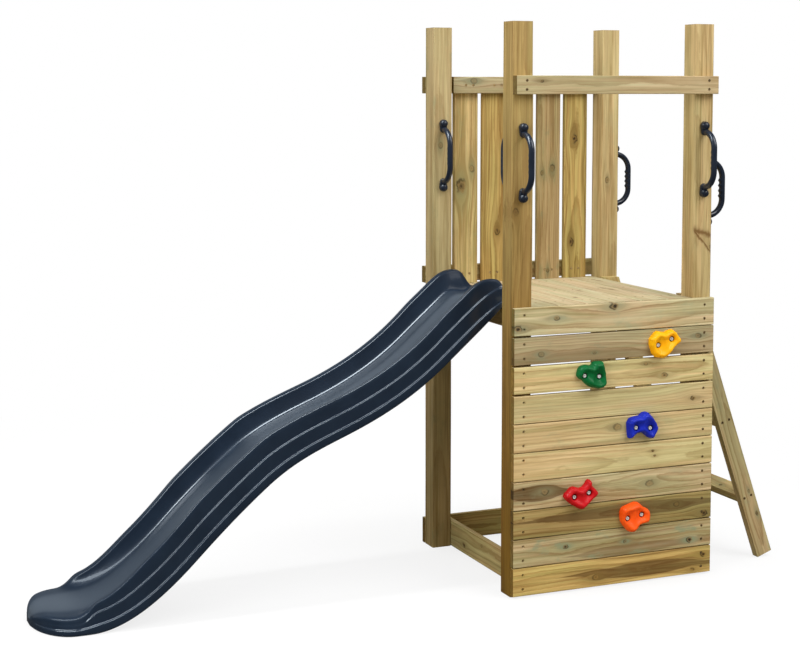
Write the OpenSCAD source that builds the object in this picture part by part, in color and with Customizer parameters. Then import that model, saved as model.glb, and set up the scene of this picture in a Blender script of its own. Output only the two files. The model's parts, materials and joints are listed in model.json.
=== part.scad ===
// Wooden climbing frame: a four-post tower with a deck, a climbing wall of boards with moulded
// holds, a leaning ladder, grab handles and a wavy moulded slide. All sizes are in millimetres.
// X runs along the climbing wall, Y from the wall to the back, Z up from the ground.

/* [Tower] */
// Outer width of the tower, along the climbing wall
tower_w = 725; // [640:1:860]
// Outer depth of the tower, from the front posts to the back posts
tower_d = 670; // [600:1:820]
// Side of a square post
post_size = 70; // [60:1:80]
// Height of the posts
post_h = 1800; // [1700:1:2100]
// Radius on the long edges of a post
post_round = 5; // [1:0.5:8]
// Height of the top of the deck
deck_h = 916; // [840:1:1000]

/* [Boards] */
// Thickness of a climbing-wall board
wall_t = 20; // [16:0.5:26]
// Gap between two climbing-wall boards
wall_gap = 2; // [0.5:0.5:6]
// Gap between the lowest wall board and the ground
wall_clear = 5; // [2:1:20]
// Thickness of a baluster
baluster_t = 20; // [16:0.5:26]
// Gap between two balusters
baluster_gap = 18; // [8:1:30]
// Gap between the outermost baluster and its post
baluster_end_gap = 31; // [10:1:50]
// Thickness of a deck board
deck_t = 20; // [16:0.5:28]
// Gap between two deck boards
deck_gap = 5; // [2:0.5:10]
// Height of a ground rail
ground_rail_h = 90; // [60:1:120]
// Thickness of a ground rail
ground_rail_t = 20; // [16:0.5:28]
// Radius on the long edges of boards and rails
board_round = 3; // [1:0.5:5]

/* [Rails and beams] */
// Height of a rail and of a deck bearer
rail_h = 58; // [45:1:75]
// Thickness of a rail and of a deck bearer
rail_t = 28; // [22:1:36]
// Distance from the top of the posts down to the top of the top rails
top_rail_drop = 166; // [120:1:240]
// Gap between the deck top and the underside of the back lower rail
lower_rail_gap = 4; // [0:1:20]
// Gap between an end of the inner top rail and its post
inner_rail_gap = 15; // [2:1:30]
// Height of a deck beam
beam_h = 68; // [62:1:90]
// Thickness of a deck beam
beam_t = 28; // [22:1:36]
// Gap between a post and the outer deck bearer beside it
bearer_inset = 8; // [4:1:20]

/* [Ladder] */
// Lean of the ladder from upright, in degrees
ladder_lean = 19.3; // [12:0.1:26]
// Width of a stringer and of a tread
ladder_w = 58; // [48:1:70]
// Thickness of a stringer and of a tread
ladder_t = 28; // [22:1:36]
// Gap between the deck edge and the back of a stringer at deck height
ladder_set = 1; // [0.5:0.5:6]
// Height of a stringer's end above the deck
stringer_top = 4; // [0:1:12]
// Height of the middle of the first tread
tread_first = 214; // [180:1:240]
// Rise from tread to tread
tread_rise = 267; // [240:1:285]

/* [Slide] */
// Run of the slide from the deck edge to where it lies flat
slide_run = 1360; // [1200:1:1600]
// Length of the flat tongue at the foot
slide_tongue = 150; // [135:1:220]
// Half of the slide's overall width
slide_half = 183; // [172:1:200]
// Distance from the middle of the slide to the middle of a rim
rim_half = 150; // [140:1:155]
// Height of the rims above the lower edge of the skirt
slide_wall = 115; // [100:1:140]
// Height of the sliding floor above the lower edge of the skirt
slide_floor = 52; // [44:1:60]
// Thickness of the moulding under the floor
slide_skin = 10; // [7:0.5:14]
// Thickness of the flange that lies on the deck
flange_t = 12; // [8:0.5:16]
// Length of the flange on the deck
flange_l = 84; // [75:1:110]

/* [Handles] */
// Distance between the two bolts of a handle
handle_bolts_l = 218; // [205:1:240]
// Distance between the two arms of a handle
handle_arms_l = 164; // [150:1:170]
// Distance from the post to the middle of the grip
handle_reach = 61; // [55:1:75]
// Diameter of the grip
grip_d = 20; // [16:0.5:24]
// Bend radius of the grip's elbows
elbow_r = 48; // [36:1:50]
// Diameter of a handle pad
pad_d = 32; // [28:0.5:36]
// Thickness of a handle pad
pad_t = 11; // [8:0.5:14]
// Distance from the top rails down to the middle of the handles beside the wall and the slide
tower_handle_drop = 211; // [170:1:250]
// Distance from the top rails down to the middle of the handles above the ladder
ladder_handle_drop = 308; // [270:1:360]

/* [Climbing holds] */
// Distance along the wall to the middle of the yellow hold
yellow_x = 532; // [500:1:560]
// Distance along the wall to the middle of the green hold
green_x = 266; // [230:1:300]
// Distance along the wall to the middle of the blue hold
blue_x = 455; // [420:1:490]
// Distance along the wall to the middle of the red hold
red_x = 233; // [200:1:270]
// Distance along the wall to the middle of the orange hold
orange_x = 427; // [390:1:460]
// Depth of a hold from the wall to its highest point
hold_depth = 44; // [38:1:50]
// Depth of a hold at its rim, beside the wall
hold_rim = 14; // [10:1:18]
// Distance between the two bolts of a hold
hold_bolt_gap = 53; // [48:1:58]
// Depth of plastic under a bolt head
hold_seat = 16; // [12:1:22]

/* [Fasteners] */
// Diameter of a wood screw
screw_d = 4.5; // [3.5:0.1:6]
// Diameter of a wood screw's head
screw_head_d = 9; // [7:0.1:11]
// Height of a wood screw's head
screw_head_h = 3; // [2:0.1:4]
// Length of a wood screw
screw_l = 45; // [40:1:48]
// Length of a slide flange screw
slide_screw_l = 30; // [22:1:31]
// Distance between the two screws of a pair
screw_pair = 28; // [20:1:34]
// Diameter of a hold bolt and of a handle bolt
bolt_d = 8; // [6:0.5:10]
// Diameter of a hold bolt's head
bolt_head_d = 16; // [13:0.5:18]
// Height of a hold bolt's head
bolt_head_h = 8; // [6:0.5:10]
// Height of a hold bolt's nut
nut_h = 7; // [5:0.5:9]
// Depth of a handle bolt in its post
handle_bolt_depth = 30; // [22:1:33]
// Diameter of a handle bolt's cap
cap_d = 28; // [24:0.5:30]
// Height of a handle bolt's cap
cap_h = 11; // [8:0.5:13]
// Clearance round a screw or bolt in its hole
hole_clear = 0.2; // [0.1:0.05:0.5]

/* [Hidden] */
$fn = 48;
wall_count = 10;
baluster_count = 5;
deck_count = 6;
tread_count = 3;
timber = [0.78, 0.68, 0.46];
slide_navy = [0.13, 0.16, 0.21];
handle_navy = [0.11, 0.13, 0.18];
steel = [0.78, 0.79, 0.8];
dark_steel = [0.25, 0.22, 0.18];

// Places that follow from the sizes above, with the front left post's outer foot at zero
post_far_x = tower_w - post_size;
post_far_y = tower_d - post_size;
post_mids_x = [post_size / 2, tower_w - post_size / 2];
post_mids_y = [post_size / 2, tower_d - post_size / 2];
top_rail_z = post_h - top_rail_drop - rail_h;
tower_handle_z = top_rail_z - tower_handle_drop;
ladder_handle_z = top_rail_z - ladder_handle_drop;
wall_h = (deck_h - wall_clear - (wall_count - 1) * wall_gap) / wall_count;
function wall_z(i) = wall_clear + i * (wall_h + wall_gap);
deck_w = post_far_x - post_size;
deck_board_w = (deck_w - (deck_count - 1) * deck_gap) / deck_count;
function deck_x(i) = post_size + i * (deck_board_w + deck_gap);
deck_under = deck_h - deck_t;
beam_z = deck_under - beam_h;
bearer_z = deck_under - rail_h;
bearer_mids = [
    post_size + bearer_inset + rail_t / 2,
    tower_d / 2,
    post_far_y - bearer_inset - rail_t / 2
];
bearer_names = ["front", "middle", "back"];
baluster_w = (deck_w - 2 * baluster_end_gap - (baluster_count - 1) * baluster_gap) / baluster_count;
function baluster_x(i) = post_size + baluster_end_gap + i * (baluster_w + baluster_gap);
baluster_y = tower_d - baluster_t;
baluster_top = top_rail_z + rail_h;
lower_rail_z = deck_h + lower_rail_gap;

// Ladder: back edge of a stringer at a height, and the middle line of its width
stringer_level = ladder_w / cos(ladder_lean);
ladder_foot_x = post_far_x + ladder_set + deck_h * tan(ladder_lean);
function stringer_mid_x(z) = ladder_foot_x - z * tan(ladder_lean) + stringer_level / 2;
function tread_z(i) = tread_first + i * tread_rise;
stringer_ys = [post_size, post_far_y - ladder_t];
tread_y = post_size + ladder_t;
tread_l = post_far_y - ladder_t - tread_y;

// The origin lies on the ground, in the middle of the object's box
box_left = post_size - slide_run - slide_tongue;
box_right = ladder_foot_x + ladder_w * cos(ladder_lean);
box_front = -max(handle_reach + grip_d / 2, wall_t + hold_depth);
box_back = tower_d + max(rail_t, ground_rail_t);
module place() {
    translate([-(box_left + box_right) / 2, -(box_front + box_back) / 2, 0]) children();
}

// Screws: each group is a list of head places, driven along one direction
pair = [-screw_pair / 2, screw_pair / 2];
into_back = [-90, 0, 0];
into_front = [90, 0, 0];
into_right = [0, 90, 0];
into_left = [0, -90, 0];
downward = [180, 0, 0];
wall_row = wall_h / 4;
function wall_screws(i) = [
    for (x = post_mids_x, e = [-wall_row, wall_row]) [x, -wall_t, wall_z(i) + wall_h / 2 + e]
];
front_rail_screws = [for (x = post_mids_x, e = pair) [x, -rail_t, top_rail_z + rail_h / 2 + e]];
back_top_screws = [
    for (x = post_mids_x, e = pair) [x, tower_d + rail_t, top_rail_z + rail_h / 2 + e]
];
back_lower_screws = [
    for (x = post_mids_x, e = pair) [x, tower_d + rail_t, lower_rail_z + rail_h / 2 + e]
];
back_ground_screws = [
    for (x = post_mids_x, e = pair) [x, tower_d + ground_rail_t, ground_rail_h / 2 + e]
];
function side_ground_screws(x) = [for (y = post_mids_y, e = pair) [x, y, ground_rail_h / 2 + e]];
left_ground_screws = side_ground_screws(post_size + ground_rail_t);
right_ground_screws = side_ground_screws(post_far_x - ground_rail_t);
function beam_screws(x) = [for (y = post_mids_y, e = pair) [x, y, beam_z + beam_h / 2 + e]];
left_beam_screws = beam_screws(post_size + beam_t);
right_beam_screws = beam_screws(post_far_x - beam_t);
bearer_rows = [rail_h * 0.2, rail_h * 0.36];
function bearer_screws(x) = [for (y = bearer_mids, e = bearer_rows) [x, y, bearer_z + e]];
function baluster_mid(i) = baluster_x(i) + baluster_w / 2;
baluster_top_screws = [
    for (i = [0:baluster_count - 1], e = pair)
        [baluster_mid(i) + e, baluster_y - rail_t, top_rail_z + rail_h / 2]
];
baluster_foot_screws = [
    for (i = [0:baluster_count - 1], e = pair)
        [baluster_mid(i) + e, baluster_y, lower_rail_z + rail_h / 2]
];
function deck_screws(i) = [
    for (y = bearer_mids, e = pair) [deck_x(i) + deck_board_w / 2 + e, y, deck_h]
];
all_deck_screws = [for (i = [0:deck_count - 1]) each deck_screws(i)];
function tread_screws(i, y) = [
    for (e = pair)
        [stringer_mid_x(tread_z(i)) + e * cos(ladder_lean), y, tread_z(i) + e * sin(ladder_lean)]
];
function all_tread_screws(y) = [for (i = [0:tread_count - 1]) each tread_screws(i, y)];
stringer_fix_drop = [26, 76];
stringer_fix_shift = 6;
function stringer_fixings(y) = [
    for (d = stringer_fix_drop) [stringer_mid_x(deck_h - d) - stringer_fix_shift, y, deck_h - d]
];
front_fixings = stringer_fixings(post_size + ladder_t);
back_fixings = stringer_fixings(post_far_y - ladder_t);
slide_fix_x = post_size + flange_l * 0.72;
slide_fix_half = 90;
slide_fixings = [
    for (s = [-1, 1]) [slide_fix_x, tower_d / 2 + s * slide_fix_half, deck_h + flange_t]
];

module screw(l) {
    cylinder(d = screw_head_d, h = screw_head_h);
    cylinder(d = screw_d, h = l);
}

// Hole for a screw: its counterbore lets the head sit just under the surface
module screw_hole(l) {
    head_room = 1;
    translate([0, 0, -head_room])
        cylinder(d = screw_head_d + 2 * hole_clear, h = screw_head_h + head_room);
    cylinder(d = screw_d + 2 * hole_clear, h = l + hole_clear);
}

module drive(places, turn, l = screw_l) {
    for (p = places) translate(p) rotate(turn) screw(l);
}

module drill(places, turn, l = screw_l) {
    for (p = places) translate(p) rotate(turn) screw_hole(l);
}

// Planed timber with eased long edges, laid along one axis from its lowest corner
module planed(a, b, r) {
    translate([r, 0]) square([a - 2 * r, b]);
    translate([0, r]) square([a, b - 2 * r]);
    for (x = [r, a - r], y = [r, b - r]) translate([x, y]) circle(r);
}

module bar_x(l, dy, dz, r = board_round) {
    rotate([90, 0, 90]) linear_extrude(l) planed(dy, dz, r);
}

module bar_y(l, dx, dz, r = board_round) {
    translate([0, l, 0]) rotate([90, 0, 0]) linear_extrude(l) planed(dx, dz, r);
}

module bar_z(l, dx, dy, r = board_round) {
    linear_extrude(l) planed(dx, dy, r);
}

// Handles: name, foot of the pad's middle line on its post, and the turn that faces it outward
face_front = [90, 0, 0];
face_back = [90, 0, 180];
face_right = [90, 0, 90];
handles = [
    ["handle_front_left", [post_mids_x[0], 0, tower_handle_z], face_front],
    ["handle_front_right", [post_mids_x[1], 0, tower_handle_z], face_front],
    ["handle_slide_front", [post_mids_x[0], post_size, tower_handle_z], face_back],
    ["handle_slide_back", [post_mids_x[0], post_far_y, tower_handle_z], face_front],
    ["handle_ladder_front", [tower_w, post_mids_y[0], ladder_handle_z], face_right],
    ["handle_ladder_back", [tower_w, post_mids_y[1], ladder_handle_z], face_right]
];
bolt_ends = [-handle_bolts_l / 2, handle_bolts_l / 2];

// Bolt holes of the handles on the post whose middle is given
module handle_bolt_holes(mid) {
    for (h = handles)
        if (abs(h[1].x - mid.x) <= post_size / 2 && abs(h[1].y - mid.y) <= post_size / 2)
            translate(h[1]) rotate(h[2])
                for (y = bolt_ends) translate([0, y, -handle_bolt_depth - hole_clear])
                    cylinder(d = bolt_d + 2 * hole_clear, h = handle_bolt_depth + 2 * hole_clear + 1);
}

// Posts
module post(right, back) {
    x = right ? post_far_x : 0;
    y = back ? post_far_y : 0;
    color(timber) place() difference() {
        translate([x, y, 0]) bar_z(post_h, post_size, post_size, post_round);
        post_holes(right, back);
    }
}

module post_holes(right, back) {
    mid_x = post_mids_x[right ? 1 : 0];
    mid_y = post_mids_y[back ? 1 : 0];
    handle_bolt_holes([mid_x, mid_y]);
    if (!back) {
        for (i = [0:wall_count - 1]) drill([for (p = wall_screws(i)) if (p.x == mid_x) p], into_back);
        drill([for (p = front_rail_screws) if (p.x == mid_x) p], into_back);
    }
    if (back) {
        back_screws = concat(back_top_screws, back_lower_screws, back_ground_screws);
        drill([for (p = back_screws) if (p.x == mid_x) p], into_front);
    }
    if (right) {
        right_screws = concat(right_ground_screws, right_beam_screws);
        drill([for (p = right_screws) if (p.y == mid_y) p], into_right);
        if (back) drill(back_fixings, into_back);
        if (!back) drill(front_fixings, into_front);
    }
    if (!right) {
        left_screws = concat(left_ground_screws, left_beam_screws);
        drill([for (p = left_screws) if (p.y == mid_y) p], into_left);
    }
}

// Climbing wall
module wall_board(i) {
    color(timber) place() difference() {
        translate([0, -wall_t, wall_z(i)]) bar_x(tower_w, wall_t, wall_h);
        drill(wall_screws(i), into_back);
        for (h = holds) if (h[1] == i) at_hold(h) hold_bolt_holes(h[4]);
    }
}

module wall_screw_set() {
    color(dark_steel) place() for (i = [0:wall_count - 1]) drive(wall_screws(i), into_back);
}

// Rails round the tower
module front_top_rail() {
    color(timber) place() difference() {
        translate([0, -rail_t, top_rail_z]) bar_x(tower_w, rail_t, rail_h);
        drill(front_rail_screws, into_back);
    }
}

module back_top_rail_outer() {
    color(timber) place() difference() {
        translate([0, tower_d, top_rail_z]) bar_x(tower_w, rail_t, rail_h);
        drill(back_top_screws, into_front);
    }
}

module back_top_rail_inner() {
    l = deck_w - 2 * inner_rail_gap;
    color(timber) place() difference() {
        translate([post_size + inner_rail_gap, baluster_y - rail_t, top_rail_z]) bar_x(l, rail_t, rail_h);
        drill(baluster_top_screws, into_back);
    }
}

module back_lower_rail() {
    color(timber) place() difference() {
        translate([0, tower_d, lower_rail_z]) bar_x(tower_w, rail_t, rail_h);
        drill(back_lower_screws, into_front);
        drill(baluster_foot_screws, into_back);
    }
}

module back_ground_rail() {
    color(timber) place() difference() {
        translate([0, tower_d, 0]) bar_x(tower_w, ground_rail_t, ground_rail_h);
        drill(back_ground_screws, into_front);
    }
}

module left_ground_rail() {
    color(timber) place() difference() {
        translate([post_size, 0, 0]) bar_y(tower_d, ground_rail_t, ground_rail_h);
        drill(left_ground_screws, into_left);
    }
}

module right_ground_rail() {
    color(timber) place() difference() {
        translate([post_far_x - ground_rail_t, 0, 0]) bar_y(tower_d, ground_rail_t, ground_rail_h);
        drill(right_ground_screws, into_right);
    }
}

module baluster(i) {
    color(timber) place() difference() {
        translate([baluster_x(i), baluster_y, deck_h]) bar_z(baluster_top - deck_h, baluster_w, baluster_t);
        drill([for (p = baluster_top_screws) if (abs(p.x - baluster_mid(i)) < baluster_w / 2) p], into_back);
        drill([for (p = baluster_foot_screws) if (abs(p.x - baluster_mid(i)) < baluster_w / 2) p], into_back);
    }
}

// Deck
module deck_board(i) {
    color(timber) place() difference() {
        translate([deck_x(i), 0, deck_under]) bar_y(tower_d, deck_board_w, deck_t);
        drill(deck_screws(i), downward);
        drill([for (p = slide_fixings) if (abs(p.x - deck_x(i) - deck_board_w / 2) < deck_board_w / 2) p],
            downward, slide_screw_l);
    }
}

module deck_beam(right) {
    x = right ? post_far_x - beam_t : post_size;
    color(timber) place() difference() {
        translate([x, 0, beam_z]) bar_y(tower_d, beam_t, beam_h);
        if (right) drill(right_beam_screws, into_right);
        if (right) drill(bearer_screws(post_far_x), into_left);
        if (!right) drill(left_beam_screws, into_left);
        if (!right) drill(bearer_screws(post_size), into_right);
    }
}

module deck_bearer(i) {
    x = post_size + beam_t;
    mid = bearer_mids[i];
    color(timber) place() difference() {
        translate([x, mid - rail_t / 2, bearer_z]) bar_x(deck_w - 2 * beam_t, rail_t, rail_h);
        drill([for (p = bearer_screws(post_size)) if (p.y == mid) p], into_right);
        drill([for (p = bearer_screws(post_far_x)) if (p.y == mid) p], into_left);
        drill([for (p = all_deck_screws) if (p.y == mid) p], downward);
    }
}

// Ladder
module stringer(back) {
    y = stringer_ys[back ? 1 : 0];
    outer_y = back ? post_far_y : post_size;
    rise = deck_h + stringer_top;
    top_x = ladder_foot_x - rise * tan(ladder_lean);
    outline = [
        [ladder_foot_x, 0],
        [ladder_foot_x + ladder_w * cos(ladder_lean), ladder_w * sin(ladder_lean)],
        [top_x + stringer_level, rise],
        [top_x, rise]
    ];
    color(timber) place() difference() {
        translate([0, y + ladder_t, 0]) rotate([90, 0, 0]) linear_extrude(ladder_t) polygon(outline);
        drill(all_tread_screws(outer_y), back ? into_front : into_back);
        drill(back ? back_fixings : front_fixings, back ? into_back : into_front);
    }
}

module ladder_tread(i) {
    mid_x = stringer_mid_x(tread_z(i));
    color(timber) place() difference() {
        translate([mid_x, tread_y, tread_z(i)]) rotate([0, -ladder_lean, 0])
            translate([-ladder_w / 2, 0, -ladder_t / 2]) bar_y(tread_l, ladder_w, ladder_t);
        drill(tread_screws(i, post_size), into_back);
        drill(tread_screws(i, post_far_y), into_front);
    }
}

module frame_screw_set() {
    color(dark_steel) place() {
        drive(front_rail_screws, into_back);
        drive(concat(back_top_screws, back_lower_screws, back_ground_screws), into_front);
        drive(concat(baluster_top_screws, baluster_foot_screws), into_back);
        drive(concat(left_ground_screws, left_beam_screws, bearer_screws(post_far_x)), into_left);
        drive(concat(right_ground_screws, right_beam_screws, bearer_screws(post_size)), into_right);
        drive(all_deck_screws, downward);
        drive(concat(all_tread_screws(post_size), back_fixings), into_back);
        drive(concat(all_tread_screws(post_far_y), front_fixings), into_front);
    }
}

// Slide: rings of one cross-section, which changes from a flange on the deck to a walled chute
// and then to a flat tongue, along a wavy line. A line's knot gives its share of the run from
// the foot, its share of the drop, and its slope against the mean slope.
slide_knots = [
    [0, 0, 0],
    [0.243, 0.21, 1.47],
    [0.404, 0.426, 1.2],
    [0.588, 0.571, 0.6],
    [0.838, 0.79, 1.29],
    [1, 1, 1.34]
];
mean_slope = deck_h / slide_run;
function knot_at(t, k = 0) = k >= len(slide_knots) - 2 || t <= slide_knots[k + 1][0] ? k : knot_at(t, k + 1);
function ease(u) = let(c = min(1, max(0, u))) c * c * (3 - 2 * c);
function mix(a, b, f) = a + (b - a) * f;
function wave(t) =
    let(a = slide_knots[knot_at(t)], b = slide_knots[knot_at(t) + 1], w = b[0] - a[0], u = (t - a[0]) / w)
    a[1] + (b[1] - a[1]) * u * u * (3 - 2 * u) + w * u * (1 - u) * (a[2] * (1 - u) - b[2] * u);
function run_share(x) = min(1, max(0, (x - post_size + slide_run) / slide_run));
function skirt_z(x) = deck_h * wave(run_share(x));
slope_step = 0.01;
function skirt_slope(x) =
    let(t = run_share(x), a = max(0, t - slope_step), b = min(1, t + slope_step))
    mean_slope * (wave(b) - wave(a)) / (b - a);

// Half cross-sections, from the middle of the floor over the rim and down to the underside
ledge_high = slide_wall - 45;
ledge_low = slide_wall - 87;
lip_h = 18;
chute = [
    [0, slide_floor],
    [rim_half - 70, slide_floor + 1],
    [rim_half - 45, slide_floor + 5],
    [rim_half - 27, slide_floor + 20],
    [rim_half - 14, slide_wall - 9],
    [rim_half - 7, slide_wall],
    [rim_half + 6, slide_wall],
    [rim_half + 11, slide_wall - 5],
    [slide_half - 18, ledge_high + 3],
    [slide_half - 11, ledge_high - 2],
    [slide_half - 9, ledge_low + 3],
    [slide_half - 1, ledge_low - 2],
    [slide_half, 5],
    [slide_half - 4, 0],
    [slide_half - 20, 0],
    [slide_half - 30, slide_floor - slide_skin - 2],
    [0, slide_floor - slide_skin]
];
tongue = [
    [0, slide_floor],
    [rim_half - 70, slide_floor - 0.3],
    [rim_half - 45, slide_floor - 0.6],
    [rim_half - 27, slide_floor - 1],
    [rim_half - 14, slide_floor - 1.5],
    [rim_half - 4, slide_floor - 3],
    [rim_half + 8, slide_floor - 7],
    [rim_half + 15, slide_floor - 13],
    [slide_half - 14, slide_floor - 19],
    [slide_half - 11, slide_floor - 27],
    [slide_half - 9, lip_h + 2],
    [slide_half - 1, lip_h - 2],
    [slide_half, 5],
    [slide_half - 4, 0],
    [slide_half - 20, 0],
    [slide_half - 28, 8],
    [0, 10]
];
flange_edge = [
    [slide_half - 22, flange_t * 0.92],
    [slide_half - 17, flange_t * 0.78],
    [slide_half - 14, flange_t * 0.6],
    [slide_half - 12, flange_t * 0.4],
    [slide_half - 11, flange_t * 0.25],
    [slide_half - 11, flange_t * 0.1],
    [slide_half - 13, 0],
    [slide_half - 20, 0],
    [slide_half - 30, 0],
    [0, 0]
];
rim_points = 8;
floor_points = 4;
under_points = 15;

// Where the chute gives way to the flange above and to the tongue below
rim_fade = [-90, 30];
floor_fade = [-130, 0];
wall_sink_from = 190;
wall_sink_to = 10;
wall_sink = 27;
tongue_from = 28;
tongue_fade = 50;
tip_x = box_left;
nose_back = 9;
nose_l = 28;
nose_least = 0.05;
hollow_end = 30;
hollow_fade = 60;
flange_crown = 0.6;
tip_l = 115;
tip_least = 0.14;
foot_x = post_size - slide_run;
function rim_share(x) = 1 - ease((x - post_size - rim_fade[0]) / (rim_fade[1] - rim_fade[0]));
function floor_share(x) = 1 - ease((x - post_size - floor_fade[0]) / (floor_fade[1] - floor_fade[0]));
function tongue_share(x) = ease((foot_x + tongue_from - x) / tongue_fade);
function sunk(x) = wall_sink * ease((foot_x + wall_sink_from - x) / (wall_sink_from - wall_sink_to));
function rounded(e) = let(c = 1 - min(1, max(0, e))) sqrt(1 - c * c);
function nose(x) = max(nose_least, rounded((x - tip_x - nose_back) / nose_l));
function hollow_share(x) = ease((x - tip_x - hollow_end) / hollow_fade);
function tip_share(x) = max(tip_least, rounded((x - tip_x) / tip_l));

function flange_point(k) =
    let(y = chute[k][0])
    k < rim_points - 1 ? [y, flange_t - flange_crown * pow(y / rim_half, 2)] : flange_edge[k - rim_points + 1];
function chute_point(k, x) =
    let(p = chute[k], above = max(0, p[1] - slide_floor) / (slide_wall - slide_floor))
    [p[0], p[1] - sunk(x) * above];
function section_point(k, x) =
    let(
        low = mix(chute_point(k, x), tongue[k], tongue_share(x)),
        high = flange_point(k),
        keep = k < floor_points || k >= under_points ? floor_share(x) : rim_share(x),
        slope = skirt_slope(x) * rim_share(x),
        hollow = k >= under_points ? hollow_share(x) : 1,
        h = mix(high[1], low[1] * hollow * sqrt(1 + slope * slope), keep),
        blunt = h > lip_h && tongue_share(x) == 1 ? lip_h + (h - lip_h) * nose(x) : h
    )
    [x, mix(high[0], low[0], rim_share(x)) * tip_share(x), skirt_z(x) + blunt];
last_half = len(chute) - 1;
function ring(x) = concat(
    [for (k = [0:last_half]) section_point(k, x)],
    [for (k = [last_half - 1:-1:1]) let(p = section_point(k, x)) [p[0], -p[1], p[2]]]
);

top_rings = 14;
chute_rings = 30;
fade_rings = 8;
tip_rings = 10;
flange_end = post_size + flange_l;
top_end = post_size + floor_fade[0];
fade_start = foot_x + tongue_from + tongue_fade / 4;
ring_places = concat(
    [for (i = [0:top_rings - 1]) mix(flange_end, top_end, i / top_rings)],
    [for (i = [0:chute_rings - 1]) mix(top_end, fade_start, i / chute_rings)],
    [for (i = [0:fade_rings - 1]) mix(fade_start, tip_x + tip_l, i / fade_rings)],
    [for (i = [0:tip_rings]) tip_x + tip_l * (1 - sin(90 * i / tip_rings))]
);

module slide() {
    rings = [for (x = ring_places) ring(x)];
    n = len(rings[0]);
    last = len(rings) - 1;
    sides = [
        for (i = [0:last - 1], k = [0:n - 1])
            let(a = i * n + k, b = i * n + (k + 1) % n, c = a + n, d = b + n)
            each [[a, d, b], [a, c, d]]
    ];
    caps = [for (k = [1:n - 2]) each [[0, k, k + 1], [last * n, last * n + k + 1, last * n + k]]];
    color(slide_navy) place() difference() {
        translate([0, tower_d / 2, 0]) polyhedron([for (r = rings) each r], concat(sides, caps), 4);
        drill(slide_fixings, downward, slide_screw_l);
    }
}

module slide_screw_set() {
    color(steel) place() drive(slide_fixings, downward, slide_screw_l);
}

// Grab handles: pads on the post, arms that bend into a grip, and ridges on its inner side
ridge_count = 3;
ridge_pitch = 19;
ridge_r = 7;
ridge_sink = 5.5;

module handle(h) {
    arm_y = handle_arms_l / 2;
    grip_half = arm_y - elbow_r;
    color(handle_navy) place() translate(h[1]) rotate(h[2]) difference() {
        union() {
            for (s = [0, 1]) mirror([0, s, 0]) {
                translate([0, handle_bolts_l / 2, 0]) cylinder(d = pad_d, h = pad_t);
                translate([-pad_d * 0.36, arm_y, 0]) cube([pad_d * 0.72, handle_bolts_l / 2 - arm_y, pad_t]);
                translate([0, arm_y, 0]) cylinder(d = pad_d * 0.8, h = pad_t);
                translate([0, arm_y, 0]) cylinder(d = grip_d, h = handle_reach - elbow_r);
                translate([0, grip_half, handle_reach - elbow_r]) rotate([90, 0, 90])
                    rotate_extrude(angle = 90) translate([elbow_r, 0]) circle(d = grip_d);
            }
            translate([0, grip_half, handle_reach]) rotate([90, 0, 0]) cylinder(d = grip_d, h = 2 * grip_half);
            for (i = [0:ridge_count - 1])
                translate([0, (i - (ridge_count - 1) / 2) * ridge_pitch, handle_reach - ridge_sink])
                    sphere(ridge_r);
        }
        for (y = bolt_ends) translate([0, y, -1]) cylinder(d = bolt_d + 2 * hole_clear, h = pad_t + 2);
    }
}

module handle_bolt() {
    cap_r = (cap_d * cap_d / 4 + cap_h * cap_h) / (2 * cap_h);
    translate([0, 0, -handle_bolt_depth]) cylinder(d = bolt_d, h = handle_bolt_depth + pad_t);
    intersection() {
        translate([0, 0, pad_t + cap_h - cap_r]) sphere(cap_r);
        translate([0, 0, pad_t]) cylinder(d = cap_d, h = cap_h);
    }
}

module handle_bolt_set() {
    color(handle_navy) place()
        for (h = handles, y = bolt_ends) translate(h[1]) rotate(h[2]) translate([0, y, 0]) handle_bolt();
}

// Climbing holds: name, wall board, distance along the wall, height above the middle of the board,
// tilt, colour, and lobes. A lobe's discs and domes each have an across, an up and a radius.
holds = [
    ["hold_yellow", 8, yellow_x, 3, 19, [0.98, 0.7, 0.04],
        [[[[-33, 4, 22], [-20, -32, 20], [0, 12, 22]], [[-26, -2, 14], [-14, -24, 12]]],
        [[[0, 12, 24], [38, 3, 24]], [[30, 6, 15], [8, 8, 13]]]]],
    ["hold_green", 7, green_x, 2, -6, [0, 0.43, 0.24],
        [[[[-22, 8, 26], [2, -22, 20]], [[-20, 10, 17], [2, -14, 12]]],
        [[[26, 16, 24], [28, -20, 22]], [[25, 14, 15], [26, -16, 13]]]]],
    ["hold_blue", 5, blue_x, 4, -5, [0.14, 0.16, 0.7],
        [[[[-36, -10, 22], [-36, 12, 22], [9, 27, 22]], [[-29, 0, 15], [8, 22, 13]]],
        [[[9, 27, 22], [38, -3, 24], [32, -18, 20]], [[29, -2, 15], [12, 18, 13]]]]],
    ["hold_red", 3, red_x, -10, 10, [0.8, 0.12, 0.18],
        [[[[-34, 0, 24], [-20, 14, 20], [4, -28, 20]], [[-27, 2, 15], [2, -18, 13]]],
        [[[4, -28, 20], [40, 4, 22], [34, 36, 10]], [[30, 4, 14], [33, 27, 7]]]]],
    ["hold_orange", 2, orange_x, -8, 8, [0.96, 0.38, 0.12],
        [[[[-30, 6, 26], [-18, -34, 20], [0, 24, 20]], [[-26, 0, 16], [-17, -27, 13]]],
        [[[0, 24, 20], [38, 8, 24], [26, -8, 20]], [[30, 4, 15], [4, 20, 13]]]]]
];
bolt_sides = [-hold_bolt_gap / 2, hold_bolt_gap / 2];
hold_fn = 28;

// A hold's own plane has its across along X, its up along Y and its depth along Z
module at_hold(h) {
    translate([h[2], -wall_t, wall_z(h[1]) + wall_h / 2 + h[3]]) rotate([90, 0, 0]) children();
}

// Bolts lie level on the wall, turned by the tilt of their hold
module hold_bolt_places(tilt) {
    for (x = bolt_sides) rotate([0, 0, tilt]) translate([x, 0, 0]) children();
}

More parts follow.
